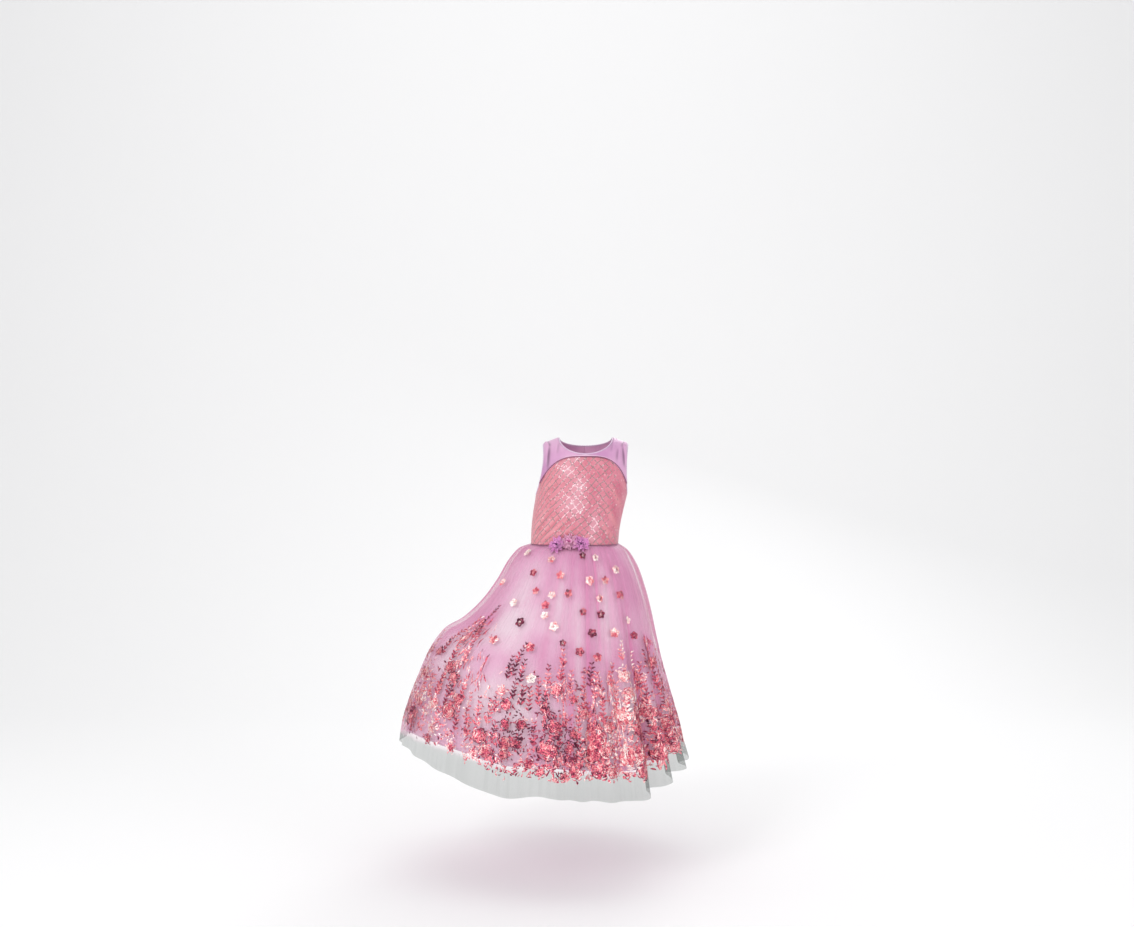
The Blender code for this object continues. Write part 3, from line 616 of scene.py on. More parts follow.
# Edges: the neck and both armholes are bound with a narrow folded strip of paler satin, topstitched
# so that it puckers a little. A round mauve piping is caught in the curved seam over the front.
NECK_BINDING, ARMHOLE_BINDING, BINDING_PROUD = 0.0030, 0.0042, 0.0004
PUCKER_LENGTH = 0.0031
PIPING_RADIUS, PIPING_TWIST = 0.0012, 0.0045
PALE_EDGING = satin_material("pale_edging", (0.60, 0.42, 0.60), (0.80, 0.62, 0.76), 0.40)
MAUVE_PIPING = satin_material("mauve_piping", (0.22, 0.055, 0.13), (0.36, 0.11, 0.22), 0.42)


def path_length(points):
    """Length along a path, from its start to each of its points."""
    return np.concatenate([[0], np.cumsum(np.linalg.norm(np.diff(points, axis=0), axis=1))])


def tube(name, points, sideways, outward, section, material, closed, slot, node):
    """A section carried along a path: each ring is the path's point plus the section in its frame.

    section has one row for each point of the path, or one row for all, of (sideways, outward).
    """
    section = np.broadcast_to(section, (len(points), *np.shape(section)[-2:]))
    rings = points[:, None] + section[..., :1] * sideways[:, None] + section[..., 1:] * outward[:, None]
    count, corners = rings.shape[:2]
    faces = grid_faces(count, corners, around=True)
    first, last = np.arange(corners), (count - 1) * corners + np.arange(corners)
    if closed:
        after = (first + 1) % corners
        faces = np.concatenate([faces, np.stack([last, last[after], after, first], axis=1)]).tolist()
    else:
        faces = [*faces.tolist(), first[::-1].tolist(), last.tolist()]
    uv = np.stack(np.broadcast_arrays(path_length(points)[:, None], np.linspace(0, 0.006, corners)), axis=-1)
    made = add_piece(name, rings, faces, material, uv=uv, slot=slot, stands_for=[node])
    fix = bmesh.new()
    fix.from_mesh(made.data)
    if fix.calc_volume(signed=True) < 0:
        bmesh.ops.reverse_faces(fix, faces=fix.faces)
    fix.to_mesh(made.data)
    fix.free()
    return made


def bound_edge(name, points, normals, inside, width, closed, node):
    """Folded strip along an edge: a rounded slab whose width and bulge ripple with the stitches."""
    if closed:
        along = np.roll(points, -1, axis=0) - np.roll(points, 1, axis=0)
    else:
        along = np.gradient(points, axis=0)
    away = unit(np.cross(normals, along))
    away = away * np.sign(np.sum(away * (inside - points), axis=1, keepdims=True))
    length = path_length(points)
    pucker = 1 + 0.10 * np.sin(2 * math.pi * length / PUCKER_LENGTH)[:, None]
    turn = np.linspace(0, 2 * math.pi, 14, endpoint=False)
    wide = np.sign(np.cos(turn)) * np.abs(np.cos(turn)) ** 0.7
    tall = np.sign(np.sin(turn)) * np.abs(np.sin(turn)) ** 0.7
    leave = SEAM_GAP + width * (0.5 - 0.5 * wide) * np.where(wide < 0, pucker, 1)
    lift = -BODICE_CLOTH / 2 + (BODICE_CLOTH / 2 + BINDING_PROUD) * tall * pucker
    section = np.stack([leave, lift], axis=-1)
    return tube(name, points, away, normals, section, PALE_EDGING, closed, "pale_edging", node)


def neck_edge():
    """Path of the neckline from the middle back over one shoulder to the other side, and its normals."""
    back_across, back_z = neckline(QUARTER * np.linspace(1, 0, 60)[:-1] ** 1.3, BACK_NECK_DEPTH)
    front_across, front_z = neckline(QUARTER * np.linspace(0, 1, 130) ** 1.2, FRONT_NECK_DEPTH)
    back, back_normals = torso(back_across, back_z, 1)
    front, front_normals = torso(front_across, front_z, -1)
    half = np.concatenate([back, front])
    half_normals = np.concatenate([back_normals, front_normals])
    half[0, 0] += SEAM_GAP / 2
    mirror = np.array([-1.0, 1.0, 1.0])
    other = half * mirror
    other[:, 0] += 2 * follow(TORSO["height"], TORSO["lean"], half[:, 2])
    points = np.concatenate([half, other[-2::-1]])
    return points, np.concatenate([half_normals, (half_normals * mirror)[-2::-1]])


def armhole_edge(hand):
    """Path round an armhole, down the front and up the back, and its normals."""
    across, z = armhole(QUARTER * np.linspace(0, 1, 90) ** 1.4)
    front, front_normals = torso(hand * across, z, -1)
    back, back_normals = torso(hand * across[-2:0:-1], z[-2:0:-1], 1)
    return np.concatenate([front, back]), np.concatenate([front_normals, back_normals])


def seam_piping():
    """Round cord along the curved seam, its radius rippled by the twist of its cover."""
    places = 0.985 * ARCH_ACROSS * np.sin(np.linspace(-QUARTER, QUARTER, 260))
    points, normals = torso(places, arch(places), -1)
    points = points + normals * (SEAM_GAP + PIPING_RADIUS)
    sideways = unit(np.cross(normals, np.gradient(points, axis=0)))
    turn = np.linspace(0, 2 * math.pi, 12, endpoint=False)[None, :]
    ripple = np.sin(2 * math.pi * path_length(points)[:, None] / PIPING_TWIST + turn)
    radius = PIPING_RADIUS * (1 + 0.05 * ripple)
    section = np.stack([radius * np.cos(turn), radius * np.sin(turn)], axis=-1)
    look = (MAUVE_PIPING, False, "mauve_piping", "arch_piping")
    return tube("curved_seam_piping", points, sideways, normals, section, *look)


neck_inside = np.array([0.0, 0.0, NECK_Z])
bindings = [bound_edge("neck_edge_binding", *neck_edge(), neck_inside, NECK_BINDING, False, "neck_binding")]
for hand, side in ((-1, "left"), (1, "right")):
    hole_inside = np.array([hand * 0.110, 0.0, (TIP_Z - ARMHOLE_DEPTH) / 2])
    given = (hole_inside, ARMHOLE_BINDING, True, f"armhole_binding_{side}")
    bindings.append(bound_edge(f"armhole_edge_binding_{side}", *armhole_edge(hand), *given))
seam_piping()


# Skirt lining: two halves of lilac satin, gathered into the waist seam. It keeps inside the
# overskirt, with shallower folds, and ends above the overskirt's hem.
TULLE = 0.0012
SKIRT_TOP = WAIST_Z - SEAM_GAP
SKIRT = table("share centre left left_z right right_z front front_z back back_z", [
    (0.00, -0.026, -0.126, SKIRT_TOP, 0.074, SKIRT_TOP, 0.0760, SKIRT_TOP, 0.0700, SKIRT_TOP),
    (0.05, -0.028, -0.151, -0.2450, 0.093, -0.2500, 0.0945, -0.2505, 0.0900, -0.2505),
    (0.10, -0.030, -0.171, -0.2670, 0.109, -0.2760, 0.1105, -0.2770, 0.1075, -0.2770),
    (0.20, -0.034, -0.201, -0.3170, 0.129, -0.3290, 0.1340, -0.3300, 0.1330, -0.3300),
    (0.30, -0.037, -0.237, -0.3650, 0.144, -0.3840, 0.1530, -0.3850, 0.1540, -0.3850),
    (0.40, -0.040, -0.280, -0.4050, 0.156, -0.4390, 0.1700, -0.4400, 0.1740, -0.4400),
    (0.50, -0.042, -0.324, -0.4320, 0.168, -0.4920, 0.1870, -0.4950, 0.1930, -0.4950),
    (0.60, -0.044, -0.357, -0.4790, 0.182, -0.5430, 0.2050, -0.5490, 0.2120, -0.5500),
    (0.70, -0.046, -0.381, -0.5350, 0.195, -0.5930, 0.2220, -0.6020, 0.2300, -0.6040),
    (0.80, -0.048, -0.400, -0.5910, 0.206, -0.6400, 0.2380, -0.6540, 0.2470, -0.6570),
    (0.90, -0.049, -0.414, -0.6440, 0.215, -0.6840, 0.2540, -0.7040, 0.2630, -0.7080),
    (1.00, -0.050, -0.421, -0.6940, 0.225, -0.7240, 0.2690, -0.7530, 0.2780, -0.7580),
])
SIDE_LIFT_POWER = 1.3
HEM_RISES = table("angle width rise", [
    (200, 22, 0.018), (248, 12, -0.012), (263, 8, 0.006), (305, 20, -0.024), (60, 24, -0.014),
    (155, 24, 0.010),
])
FOLDS = table("top_angle hem_angle width depth begins", [
    (4, 4, 5.0, 0.010, 0.14), (19, 20, 5.0, 0.019, 0.10), (36, 35, 4.6, 0.019, 0.16),
    (51, 51, 5.2, 0.024, 0.08), (67, 66, 4.6, 0.020, 0.18), (82, 83, 5.0, 0.026, 0.12),
    (97, 98, 4.6, 0.021, 0.10), (113, 113, 5.0, 0.025, 0.16), (130, 129, 4.8, 0.022, 0.12),
    (146, 146, 5.2, 0.020, 0.20), (163, 163, 5.0, 0.014, 0.30), (192, 185, 4.6, 0.005, 0.42),
    (194, 197, 4.0, 0.006, 0.44), (197, 210, 4.4, 0.008, 0.44), (200, 223, 5.0, 0.007, 0.46),
    (236, 237, 5.5, 0.008, 0.25), (252, 253, 5.6, 0.014, 0.20), (268, 267, 4.2, 0.014, 0.12),
    (277, 278, 3.2, 0.014, 0.10), (288, 290, 4.2, 0.016, 0.10), (304, 307, 4.6, 0.022, 0.08),
    (314, 315, 3.2, -0.024, 0.12), (322, 323, 4.2, 0.016, 0.12), (331, 332, 3.4, -0.022, 0.30),
    (338, 340, 4.4, 0.014, 0.36), (345, 349, 3.4, -0.014, 0.44), (350, 357, 3.8, 0.008, 0.46),
])
# The two places where the skirt is held out into a soft point
PULLS = table("angle share reach width length", [
    (194, 0.43, 0.010, 8, 0.040), (342, 0.44, 0.008, 8, 0.035),
])
LINING_FOLDS, LINING_INSET = 0.35, 0.0065
LINING_END_FRONT, LINING_END_LEFT = 0.880, 0.950
LINING_CLOTH = 0.0006
# Painted sheen: patches of the lining made paler as painted highlights (or, below nought, pinker): middle,
# reach and how much
PAINTED_SHEEN_PATCHES = table("angle share wide tall much", [
    (226, 0.22, 14, 0.14, 0.55), (238, 0.42, 12, 0.12, 0.45), (214, 0.60, 16, 0.16, 0.35),
    (262, 0.22, 5, 0.20, 0.40), (276, 0.55, 4, 0.30, 0.40), (296, 0.30, 5, 0.30, 0.30),
    (255, 0.05, 60, 0.07, -0.35), (284, 0.30, 4, 0.40, -0.30), (316, 0.35, 9, 0.40, -0.25),
    (250, 0.70, 12, 0.12, 0.30), (222, 0.90, 20, 0.08, -0.15), (306, 0.75, 4, 0.25, 0.25),
    (223, 0.42, 13, 0.14, 0.30), (320, 0.13, 12, 0.12, -0.35),
])


def bump(angle, middle, width):
    """1 at the middle angle, in degrees, and falling smoothly away from it on both sides."""
    turn = (np.degrees(angle) - middle + 180) % 360 - 180
    return np.exp(-((turn / width) ** 2))


def skirt_base(angle, share):
    """(point, outward level direction) on the smooth skirt: an oval for each level, lifted at its sides."""
    level = {name: follow(SKIRT["share"], SKIRT[name], share) for name in SKIRT.dtype.names}
    right, back = np.cos(angle), np.sin(angle)
    reach_x = np.where(right > 0, level["right"] - level["centre"], level["centre"] - level["left"])
    reach_y = np.where(back > 0, level["back"], level["front"])
    side_z = np.where(right > 0, level["right_z"], level["left_z"])
    middle_z = np.where(back > 0, level["back_z"], level["front_z"])
    z = middle_z + (side_z - middle_z) * np.abs(right) ** SIDE_LIFT_POWER
    for hem in HEM_RISES:
        z = z + hem["rise"] * share**2 * bump(angle, hem["angle"], hem["width"])
    point = np.stack([level["centre"] + reach_x * right, reach_y * back, z], axis=-1)
    return point, unit(np.stack([right / reach_x, back / reach_y, 0 * z], axis=-1))


def fold_height(angle, share):
    """How far the large folds and the drawn-out points stand out: bumps that widen down the skirt."""
    height = 0 * angle * share
    for fold in FOLDS:
        down = ease((share - fold["begins"]) / (1 - fold["begins"]))
        middle = fold["top_angle"] + (fold["hem_angle"] - fold["top_angle"]) * down
        width = fold["width"] * (0.45 + 0.55 * down)
        height = height + fold["depth"] * down * bump(angle, middle, width)
    for pull in PULLS:
        down = np.exp(-(((share - pull["share"]) / pull["length"]) ** 2))
        height = height + pull["reach"] * down * bump(angle, pull["angle"], pull["width"])
    return height


def lining_end(angle):
    """How far down the skirt the lining reaches: further towards the left."""
    to_left = np.maximum(-np.cos(angle), 0) ** 4
    return LINING_END_FRONT + (LINING_END_LEFT - LINING_END_FRONT) * to_left


def lining_shape(angle, share):
    """The smooth skirt down to the lining's end, with shallower folds than the net's."""
    share = share * lining_end(angle)
    point, outward = skirt_base(angle, share)
    height = fold_height(angle, share)
    return point + outward * np.minimum(height, LINING_FOLDS * height)[..., None]


def surface_normals(surface, angle, share):
    """Outward normals of a skirt surface, from how it changes around and down."""
    step = 0.002
    around = surface(angle + step, share) - surface(angle - step, share)
    down = surface(angle, np.minimum(share + step, 1)) - surface(angle, np.maximum(share - step, 0))
    return unit(np.cross(down, around))


def half_skirt(start, columns, shares):
    """(angle, share) grid over half the skirt, from the start angle in degrees."""
    around = math.radians(start) + np.linspace(0, math.pi, columns + 1)[None, :]
    return np.broadcast_arrays(around, shares[:, None])


def part_at_sides(points):
    """Half the seam space at each side seam of a front or back half."""
    middle = points[:, points.shape[1] // 2, 1]
    points[:, [0, -1], 1] += SEAM_GAP / 2 * np.sign(middle)[:, None]
    return points


def lining_half(name, start, node):
    """Half the lining: the smooth skirt with a third of its folds, kept inside the net."""
    shares = np.concatenate([np.linspace(0, 0.1, 14)[:-1], np.linspace(0.1, 1, 76)])
    angle, share = half_skirt(start, 300, shares)
    normals = surface_normals(lining_shape, angle, share)
    inset = TULLE + SEAM_GAP + LINING_INSET * ease(share / 0.12)
    points = part_at_sides(lining_shape(angle, share) - normals * inset[..., None])
    uv = np.stack([angle * 0.22, share * 0.47], axis=-1)
    # Painted light: paler towards the hem, which evens out the shadow of the foil print in front of it, and
    # painted sheen in the patches
    pale = 0.30 + 0.36 * ease((share - 0.50) / 0.22)
    for patch in PAINTED_SHEEN_PATCHES:
        down = np.exp(-(((share - patch["share"]) / patch["tall"]) ** 2))
        pale = pale + patch["much"] * bump(angle, patch["angle"], patch["wide"]) * down
    made = cloth_piece(
        name, node, "lilac_lining", points, LINING_SATIN, LINING_CLOTH, -1,
        uv=uv,
        tints={"pale": np.clip(pale, 0, 1)},
    )


def color_ramp(tree, value, stops):
    """Colour of a ramp through stops of (place, colour), at a value."""
    ramp = add_node(tree, "ShaderNodeValToRGB", {0: value})
    made = ramp.color_ramp.elements
    for stop, (place, color) in zip((made[0], made[-1]), (stops[0], stops[-1])):
        stop.position, stop.color = place, (*color, 1)
    for place, color in stops[1:-1]:
        made.new(place).color = (*color, 1)
    return ramp.outputs[0]


def lining_material():
    """Satin lining: pink lilac near the waist and in its folds, almost white where sheen is painted on it."""
    material, tree, shader = new_material("lilac_lining", (0.82, 0.50, 0.82), Roughness=0.42, Anisotropic=0.4)
    place, _, slub = weave(tree, shader, 1400, 0.0001, 0.25)
    clouds = remap(tree, noise(tree, place, 9.0, 2.5), 0.3, 0.7, -0.22, 0.22)
    cloudy = calculate(tree, "ADD", attribute(tree, "pale"), clouds)
    cloudy = calculate(tree, "ADD", cloudy, remap(tree, slub, 0.3, 0.7, -0.06, 0.06))
    stops = ((0.0, (0.71, 0.26, 0.50)), (0.45, (0.84, 0.48, 0.68)), (1.0, (0.91, 0.77, 0.85)))
    tree.links.new(color_ramp(tree, cloudy, stops), shader.inputs["Base Color"])
    tree.links.new(remap(tree, slub, 0.2, 0.8, 0.36, 0.5), shader.inputs["Roughness"])
    return material
LINING_SATIN = lining_material()
lining_half("lining_half_front", 180, "lining_front")
lining_half("lining_half_back", 0, "lining_back")


# Overskirt: fine pale net, gathered by hand into the waist seam, so that its pleats are uneven.
# It is drawn smooth over the left side, and hangs in deep folds at the right and behind.
GATHERS = 56
GATHER_LEVELS = np.array((0.0, 0.05, 0.14, 0.30, 0.55, 1.0))
GATHER_DEPTHS = np.array((0.0016, 0.0034, 0.0042, 0.0036, 0.0012, 0.0))
CRINKLE = 0.0011
CRINKLE_WAVES = table("count phase drift", [
    (23, 0.4, 1.1), (31, 2.2, -0.8), (43, 4.4, 1.7), (59, 1.0, -1.9), (73, 5.1, 2.6), (91, 3.3, -2.4),
])
NET_COLUMNS, NET_ROWS = 620, 120
# The two spots where the net is pinched together: angle and share
PINCHES, PINCH_WIDTH, PINCH_REACH = ((217, 0.36), (331, 0.42)), 7, 0.05


def gather_height(angle, share):
    """Uneven gathers: a wave round the waist whose phase and depth wander, dying out downwards."""
    depth = follow(GATHER_LEVELS, GATHER_DEPTHS, share)
    phase = GATHERS * angle + 1.6 * np.sin(5 * angle + 0.7)
    phase = phase + 1.1 * np.sin(13 * angle + 2) + 0.9 * np.sin(27 * angle)
    uneven = 0.80 + 0.20 * np.sin(9 * angle + 1) + 0.18 * np.sin(23 * angle + 4 * share)
    return depth * uneven * (1 - np.cos(phase + 1.5 * share)) / 2


def crinkle_height(angle, share):
    """Small uneven pleats: six waves of wandering phase added up, weak where the net is drawn smooth."""
    waves = sum(np.cos(w["count"] * angle + w["phase"] + w["drift"] * share) for w in CRINKLE_WAVES)
    loose = 1 - 0.92 * np.maximum(bump(angle, 212, 40), bump(angle, 175, 24))
    loose = loose * (1 - 0.5 * ease((share - 0.75) / 0.2))
    return CRINKLE * waves / 2 * loose * ease(share / 0.15)


def net_height(angle, share):
    return fold_height(angle, share) + gather_height(angle, share) + crinkle_height(angle, share)


def net_shape(angle, share):
    point, outward = skirt_base(angle, share)
    return point + outward * net_height(angle, share)[..., None]


def net_material():
    """Pale net: see-through between its threads, pinker and closer where folds lie double, with the deeper
    pink of the fold valleys partly painted shade.
    """
    material, tree, shader = new_material(
        "lilac_tulle", (0.50, 0.47, 0.50), Roughness=0.7, Sheen_Weight=0.1, Specular_IOR_Level=0.15
    )
    place, threads, _ = weave(tree, shader, 450, 0.0003, 0.3)
    threads = remap(tree, calculate(tree, "ABSOLUTE", threads), 0.05, 0.6, 1.0, 0.0)
    fold, veil = attribute(tree, "fold"), attribute(tree, "veil")
    streaks = add_node(tree, "ShaderNodeMapping", {0: place, "Scale": (120.0, 5.0, 1.0)})
    fine = remap(tree, noise(tree, streaks.outputs[0], 1.0, 2.0), 0.35, 0.70)
    pink = mix_colors(tree, fold, (0.72, 0.48, 0.57), (0.78, 0.27, 0.48))
    plain = mix_colors(tree, noise(tree, place, 12.0, 2.0), (0.14, 0.172, 0.155), (0.20, 0.225, 0.21))
    tree.links.new(mix_colors(tree, veil, plain, pink), shader.inputs["Base Color"])
    cover = calculate(tree, "MULTIPLY_ADD", threads, 0.16, remap(tree, veil, 0, 1, 0.36, 0.15))
    cover = calculate(tree, "MULTIPLY_ADD", fine, 0.04, cover)
    cover = calculate(tree, "MULTIPLY_ADD", calculate(tree, "MULTIPLY", fold, veil), 0.30, cover)
    tree.links.new(cover, shader.inputs["Alpha"])
    return material
    return material


def net_half(name, start, node):
    """Half the net: the smooth skirt with folds, gathers and crinkles, and how deep each spot lies."""
    angle, share = half_skirt(start, NET_COLUMNS, np.linspace(0, 1, NET_ROWS) ** 1.15)
    points = part_at_sides(net_shape(angle, share))
    height = net_height(angle, share)
    level = np.apply_along_axis(smooth, 1, height, 20)
    # Fold tint, deepest in the valleys between folds: partly the net lying double there, partly painted shade
    fold = np.clip(0.22 + (level - height) / 0.0065, 0, 1)
    drift = np.cos(47 * angle + 2 * share) * np.cos(29 * angle + 1) * np.cos(13 * angle - share)
    fold = np.clip(fold + 0.55 * np.maximum(drift, 0) - 0.1, 0, 1)
    fold = np.apply_along_axis(smooth, 1, fold, 3)
    fold = fold * (1 - 0.75 * bump(angle, 212, 30)) * ease(share / 0.03 + 0.4)
    fold = np.maximum(fold, np.maximum(0.75 * bump(angle, 180, 30), 0.62 * bump(angle, 360, 26)))
    for middle, low in PINCHES:
        down = np.exp(-(((share - low) / PINCH_REACH) ** 2))
        fold = np.maximum(fold, bump(angle, middle, PINCH_WIDTH) * down)
    veil = 1 - ease((share - lining_end(angle) + 0.005) / 0.03)
    return cloth_piece(
        name, node, "lilac_tulle", points, NET, 0, -1,
        uv=np.stack([angle * 0.30, share * 0.53], axis=-1),
        tints={"fold": fold, "veil": veil},
    )


NET = net_material()
net_front = net_half("net_half_front", 180, "overskirt_front")
net_back = net_half("net_half_back", 0, "overskirt_back")


# Foil print on the net: a border of roses and leaf sprays above the hem, and small five-petalled
# blossoms scattered higher up, in rose gold, maroon and champagne foil. Each piece of foil is a
# thin leaf-shaped fleck that lies on the net and follows its folds.
PRINT_PROUD, FLECK_ROWS = 0.0004, 6
PRINT_END = 0.905
PRINT_SEED, PRINT_FOLDS = 11, 0.5
# Stops of the foil's ramp, from maroon over coral to champagne
FOIL_TONES = (
    (0.02, (0.075, 0.009, 0.030)),
    (0.26, (0.30, 0.034, 0.085)),
    (0.48, (0.77, 0.105, 0.17)),
    (0.72, (0.90, 0.32, 0.33)),
    (0.95, (1.0, 0.90, 0.86)),
)
ROSES = table("angle share radius tone", [
    (264, 0.81, 0.022, 0.25), (223, 0.76, 0.018, 0.50), (214, 0.76, 0.014, 0.90), (249, 0.80, 0.015, 0.30),
    (266, 0.72, 0.016, 0.05), (216, 0.61, 0.014, 0.35), (200, 0.67, 0.011, 0.70), (247, 0.66, 0.013, 0.15),
    (244, 0.62, 0.009, 0.85), (262, 0.66, 0.010, 0.10), (217, 0.85, 0.011, 0.90), (242, 0.85, 0.013, 0.35),
    (238, 0.87, 0.010, 0.90), (228, 0.89, 0.009, 0.75), (249, 0.84, 0.011, 0.45), (253, 0.79, 0.010, 0.10),
    (258, 0.87, 0.011, 0.50), (254, 0.72, 0.011, 0.10), (248, 0.73, 0.011, 0.10), (203, 0.84, 0.011, 0.35),
    (216, 0.90, 0.010, 0.40), (226, 0.71, 0.013, 0.40), (239, 0.80, 0.016, 0.50), (266, 0.58, 0.015, 0.50),
    (272, 0.80, 0.010, 0.15), (285, 0.76, 0.023, 0.50), (286, 0.88, 0.018, 0.50), (283, 0.82, 0.018, 0.50),
    (300, 0.67, 0.021, 0.80), (309, 0.73, 0.015, 0.40), (306, 0.82, 0.015, 0.45), (321, 0.85, 0.018, 0.50),
    (336, 0.88, 0.013, 0.55), (356, 0.85, 0.010, 0.50), (301, 0.83, 0.021, 0.85), (319, 0.68, 0.016, 0.60),
    (321, 0.69, 0.007, 0.05), (274, 0.61, 0.009, 0.45), (279, 0.66, 0.011, 0.50), (270, 0.91, 0.011, 0.45),
    (267, 0.93, 0.009, 0.50), (274, 0.74, 0.009, 0.10), (304, 0.52, 0.014, 0.95), (306, 0.59, 0.016, 1.00),
    (333, 0.50, 0.011, 0.40), (275, 0.89, 0.014, 0.50), (292, 0.88, 0.014, 0.60), (307, 0.89, 0.014, 0.50),
    (289, 0.80, 0.014, 0.70), (292, 0.71, 0.014, 0.60), (335, 0.76, 0.014, 0.50), (262, 0.90, 0.011, 0.40),
    (189, 0.60, 0.010, 0.55), (214, 0.49, 0.009, 0.50), (196, 0.68, 0.013, 0.65), (220, 0.64, 0.011, 0.30),
    (203, 0.78, 0.010, 0.70), (200, 0.87, 0.011, 0.25), (203, 0.58, 0.009, 0.30), (336, 0.50, 0.012, 0.35),
])
BLOSSOMS = table("angle share radius tone", [
    (216, 0.06, 0.009, 1.00), (249, 0.08, 0.008, 0.85), (279, 0.06, 0.008, 0.05), (292, 0.07, 0.008, 1.00),
    (311, 0.12, 0.009, 1.00), (236, 0.14, 0.008, 0.50), (260, 0.14, 0.009, 0.65), (284, 0.16, 0.010, 0.70),
    (298, 0.16, 0.009, 0.70), (243, 0.21, 0.008, 0.50), (256, 0.22, 0.008, 0.90), (268, 0.21, 0.009, 0.50),
    (310, 0.22, 0.009, 0.50), (205, 0.20, 0.008, 0.75), (229, 0.27, 0.009, 1.00), (253, 0.26, 0.009, 0.50),
    (292, 0.23, 0.008, 0.80), (279, 0.28, 0.008, 0.30), (292, 0.29, 0.009, 0.25), (240, 0.34, 0.010, 0.05),
    (254, 0.30, 0.008, 0.90), (261, 0.34, 0.010, 1.00), (285, 0.36, 0.009, 0.10), (301, 0.36, 0.010, 0.70),
    (231, 0.44, 0.010, 0.65), (251, 0.43, 0.010, 0.50), (277, 0.43, 0.009, 0.30), (267, 0.40, 0.007, 0.10),
    (288, 0.45, 0.009, 0.50), (255, 0.55, 0.010, 1.00), (314, 0.32, 0.008, 0.90), (318, 0.38, 0.008, 0.20),
])
SPRAYS = table("angle share length tone", [
    (247, 0.49, 0.078, 0.08), (245, 0.53, 0.055, 0.10), (251, 0.53, 0.055, 0.10), (216, 0.37, 0.087, 0.20),
    (219, 0.43, 0.046, 0.30), (283, 0.52, 0.055, 0.10), (285, 0.56, 0.064, 0.60), (268, 0.46, 0.041, 0.50),
    (296, 0.52, 0.055, 0.60), (289, 0.57, 0.073, 0.50), (279, 0.59, 0.073, 0.40), (272, 0.55, 0.055, 0.50),
    (267, 0.51, 0.046, 0.45), (317, 0.54, 0.064, 0.50), (304, 0.43, 0.046, 0.80), (314, 0.48, 0.046, 0.90),
    (319, 0.60, 0.064, 0.50), (334, 0.56, 0.055, 0.40), (336, 0.66, 0.064, 0.50), (339, 0.72, 0.055, 0.50),
    (355, 0.81, 0.055, 0.55), (298, 0.60, 0.064, 0.70), (303, 0.64, 0.064, 0.90), (259, 0.60, 0.060, 0.45),
    (262, 0.54, 0.055, 0.50), (262, 0.63, 0.046, 0.10), (256, 0.63, 0.055, 0.40), (253, 0.62, 0.046, 0.30),
    (249, 0.60, 0.046, 0.20), (243, 0.67, 0.046, 0.50), (241, 0.71, 0.055, 0.50), (237, 0.72, 0.064, 0.45),
    (232, 0.72, 0.064, 0.50), (227, 0.67, 0.064, 0.50), (221, 0.67, 0.055, 0.30), (214, 0.68, 0.064, 0.40),
    (209, 0.71, 0.055, 0.60), (204, 0.74, 0.055, 0.70), (195, 0.80, 0.055, 0.50), (228, 0.78, 0.055, 0.50),
    (234, 0.79, 0.046, 0.50), (244, 0.77, 0.046, 0.30), (254, 0.78, 0.046, 0.15), (268, 0.77, 0.064, 0.20),
    (276, 0.71, 0.064, 0.50), (282, 0.68, 0.064, 0.50), (289, 0.65, 0.064, 0.50), (308, 0.66, 0.055, 0.50),
    (320, 0.76, 0.064, 0.50), (335, 0.82, 0.055, 0.50), (296, 0.76, 0.055, 0.70), (277, 0.83, 0.055, 0.40),
    (220, 0.72, 0.046, 0.40), (218, 0.80, 0.046, 0.60), (259, 0.76, 0.055, 0.30), (194, 0.57, 0.050, 0.50),
    (206, 0.55, 0.046, 0.30), (215, 0.54, 0.055, 0.40), (222, 0.53, 0.055, 0.60), (202, 0.72, 0.046, 0.50),
    (214, 0.69, 0.046, 0.60), (200, 0.83, 0.046, 0.40), (211, 0.41, 0.055, 0.60), (324, 0.48, 0.046, 0.50),
    (338, 0.56, 0.055, 0.40), (208, 0.47, 0.046, 0.50),
])
# Long flecks that run down the folds: middle, height and width of the patch, number and tone
STREAKS = table("angle share tall wide count tone", [
    (222, 0.50, 0.120, 0.050, 40, 0.50), (226, 0.62, 0.110, 0.045, 26, 0.60),
    (330, 0.47, 0.070, 0.030, 22, 0.30), (316, 0.62, 0.110, 0.016, 34, 0.50),
    (321, 0.82, 0.130, 0.020, 50, 0.50), (307, 0.76, 0.120, 0.016, 34, 0.45),
    (355, 0.82, 0.110, 0.012, 30, 0.55), (285, 0.74, 0.120, 0.024, 40, 0.50),
    (299, 0.72, 0.130, 0.026, 40, 0.85), (269, 0.63, 0.100, 0.020, 26, 0.55),
    (242, 0.84, 0.040, 0.060, 26, 0.50), (267, 0.86, 0.060, 0.030, 26, 0.50),
    (295, 0.60, 0.080, 0.022, 22, 0.60), (338, 0.76, 0.130, 0.018, 36, 0.50),
    (262, 0.68, 0.080, 0.016, 18, 0.50), (215, 0.46, 0.070, 0.030, 26, 0.55),
    (233, 0.59, 0.080, 0.020, 16, 0.55), (332, 0.48, 0.060, 0.024, 18, 0.55),
])
FILLERS = 1350


def flecks(start, end, bend, width, tone):
    """Leaf shapes: a line from start to end bowed aside by a parabola, with a half width that
    swells as a sine. Gives the corners (fleck, row, side, 2) in metres and one tone for each fleck."""
    t = np.linspace(0, 1, FLECK_ROWS)[None, :, None]
    start, run = np.asarray(start)[:, None], (np.asarray(end) - start)[:, None]
    bend, width = (np.broadcast_to(v, len(start))[:, None, None] for v in (bend, width))
    aside = np.stack([-run[..., 1], run[..., 0]], axis=-1)
    line = start + run * t + aside * bend * 4 * t * (1 - t)
    half = unit(aside) * width / 2 * np.sin(math.pi * (0.07 + 0.86 * t)) ** 0.7
    return np.stack([line - half, line + half], axis=2), np.broadcast_to(tone, len(start)) + 0.0


def compass(angle):
    return np.stack([np.cos(angle), np.sin(angle)], axis=-1)


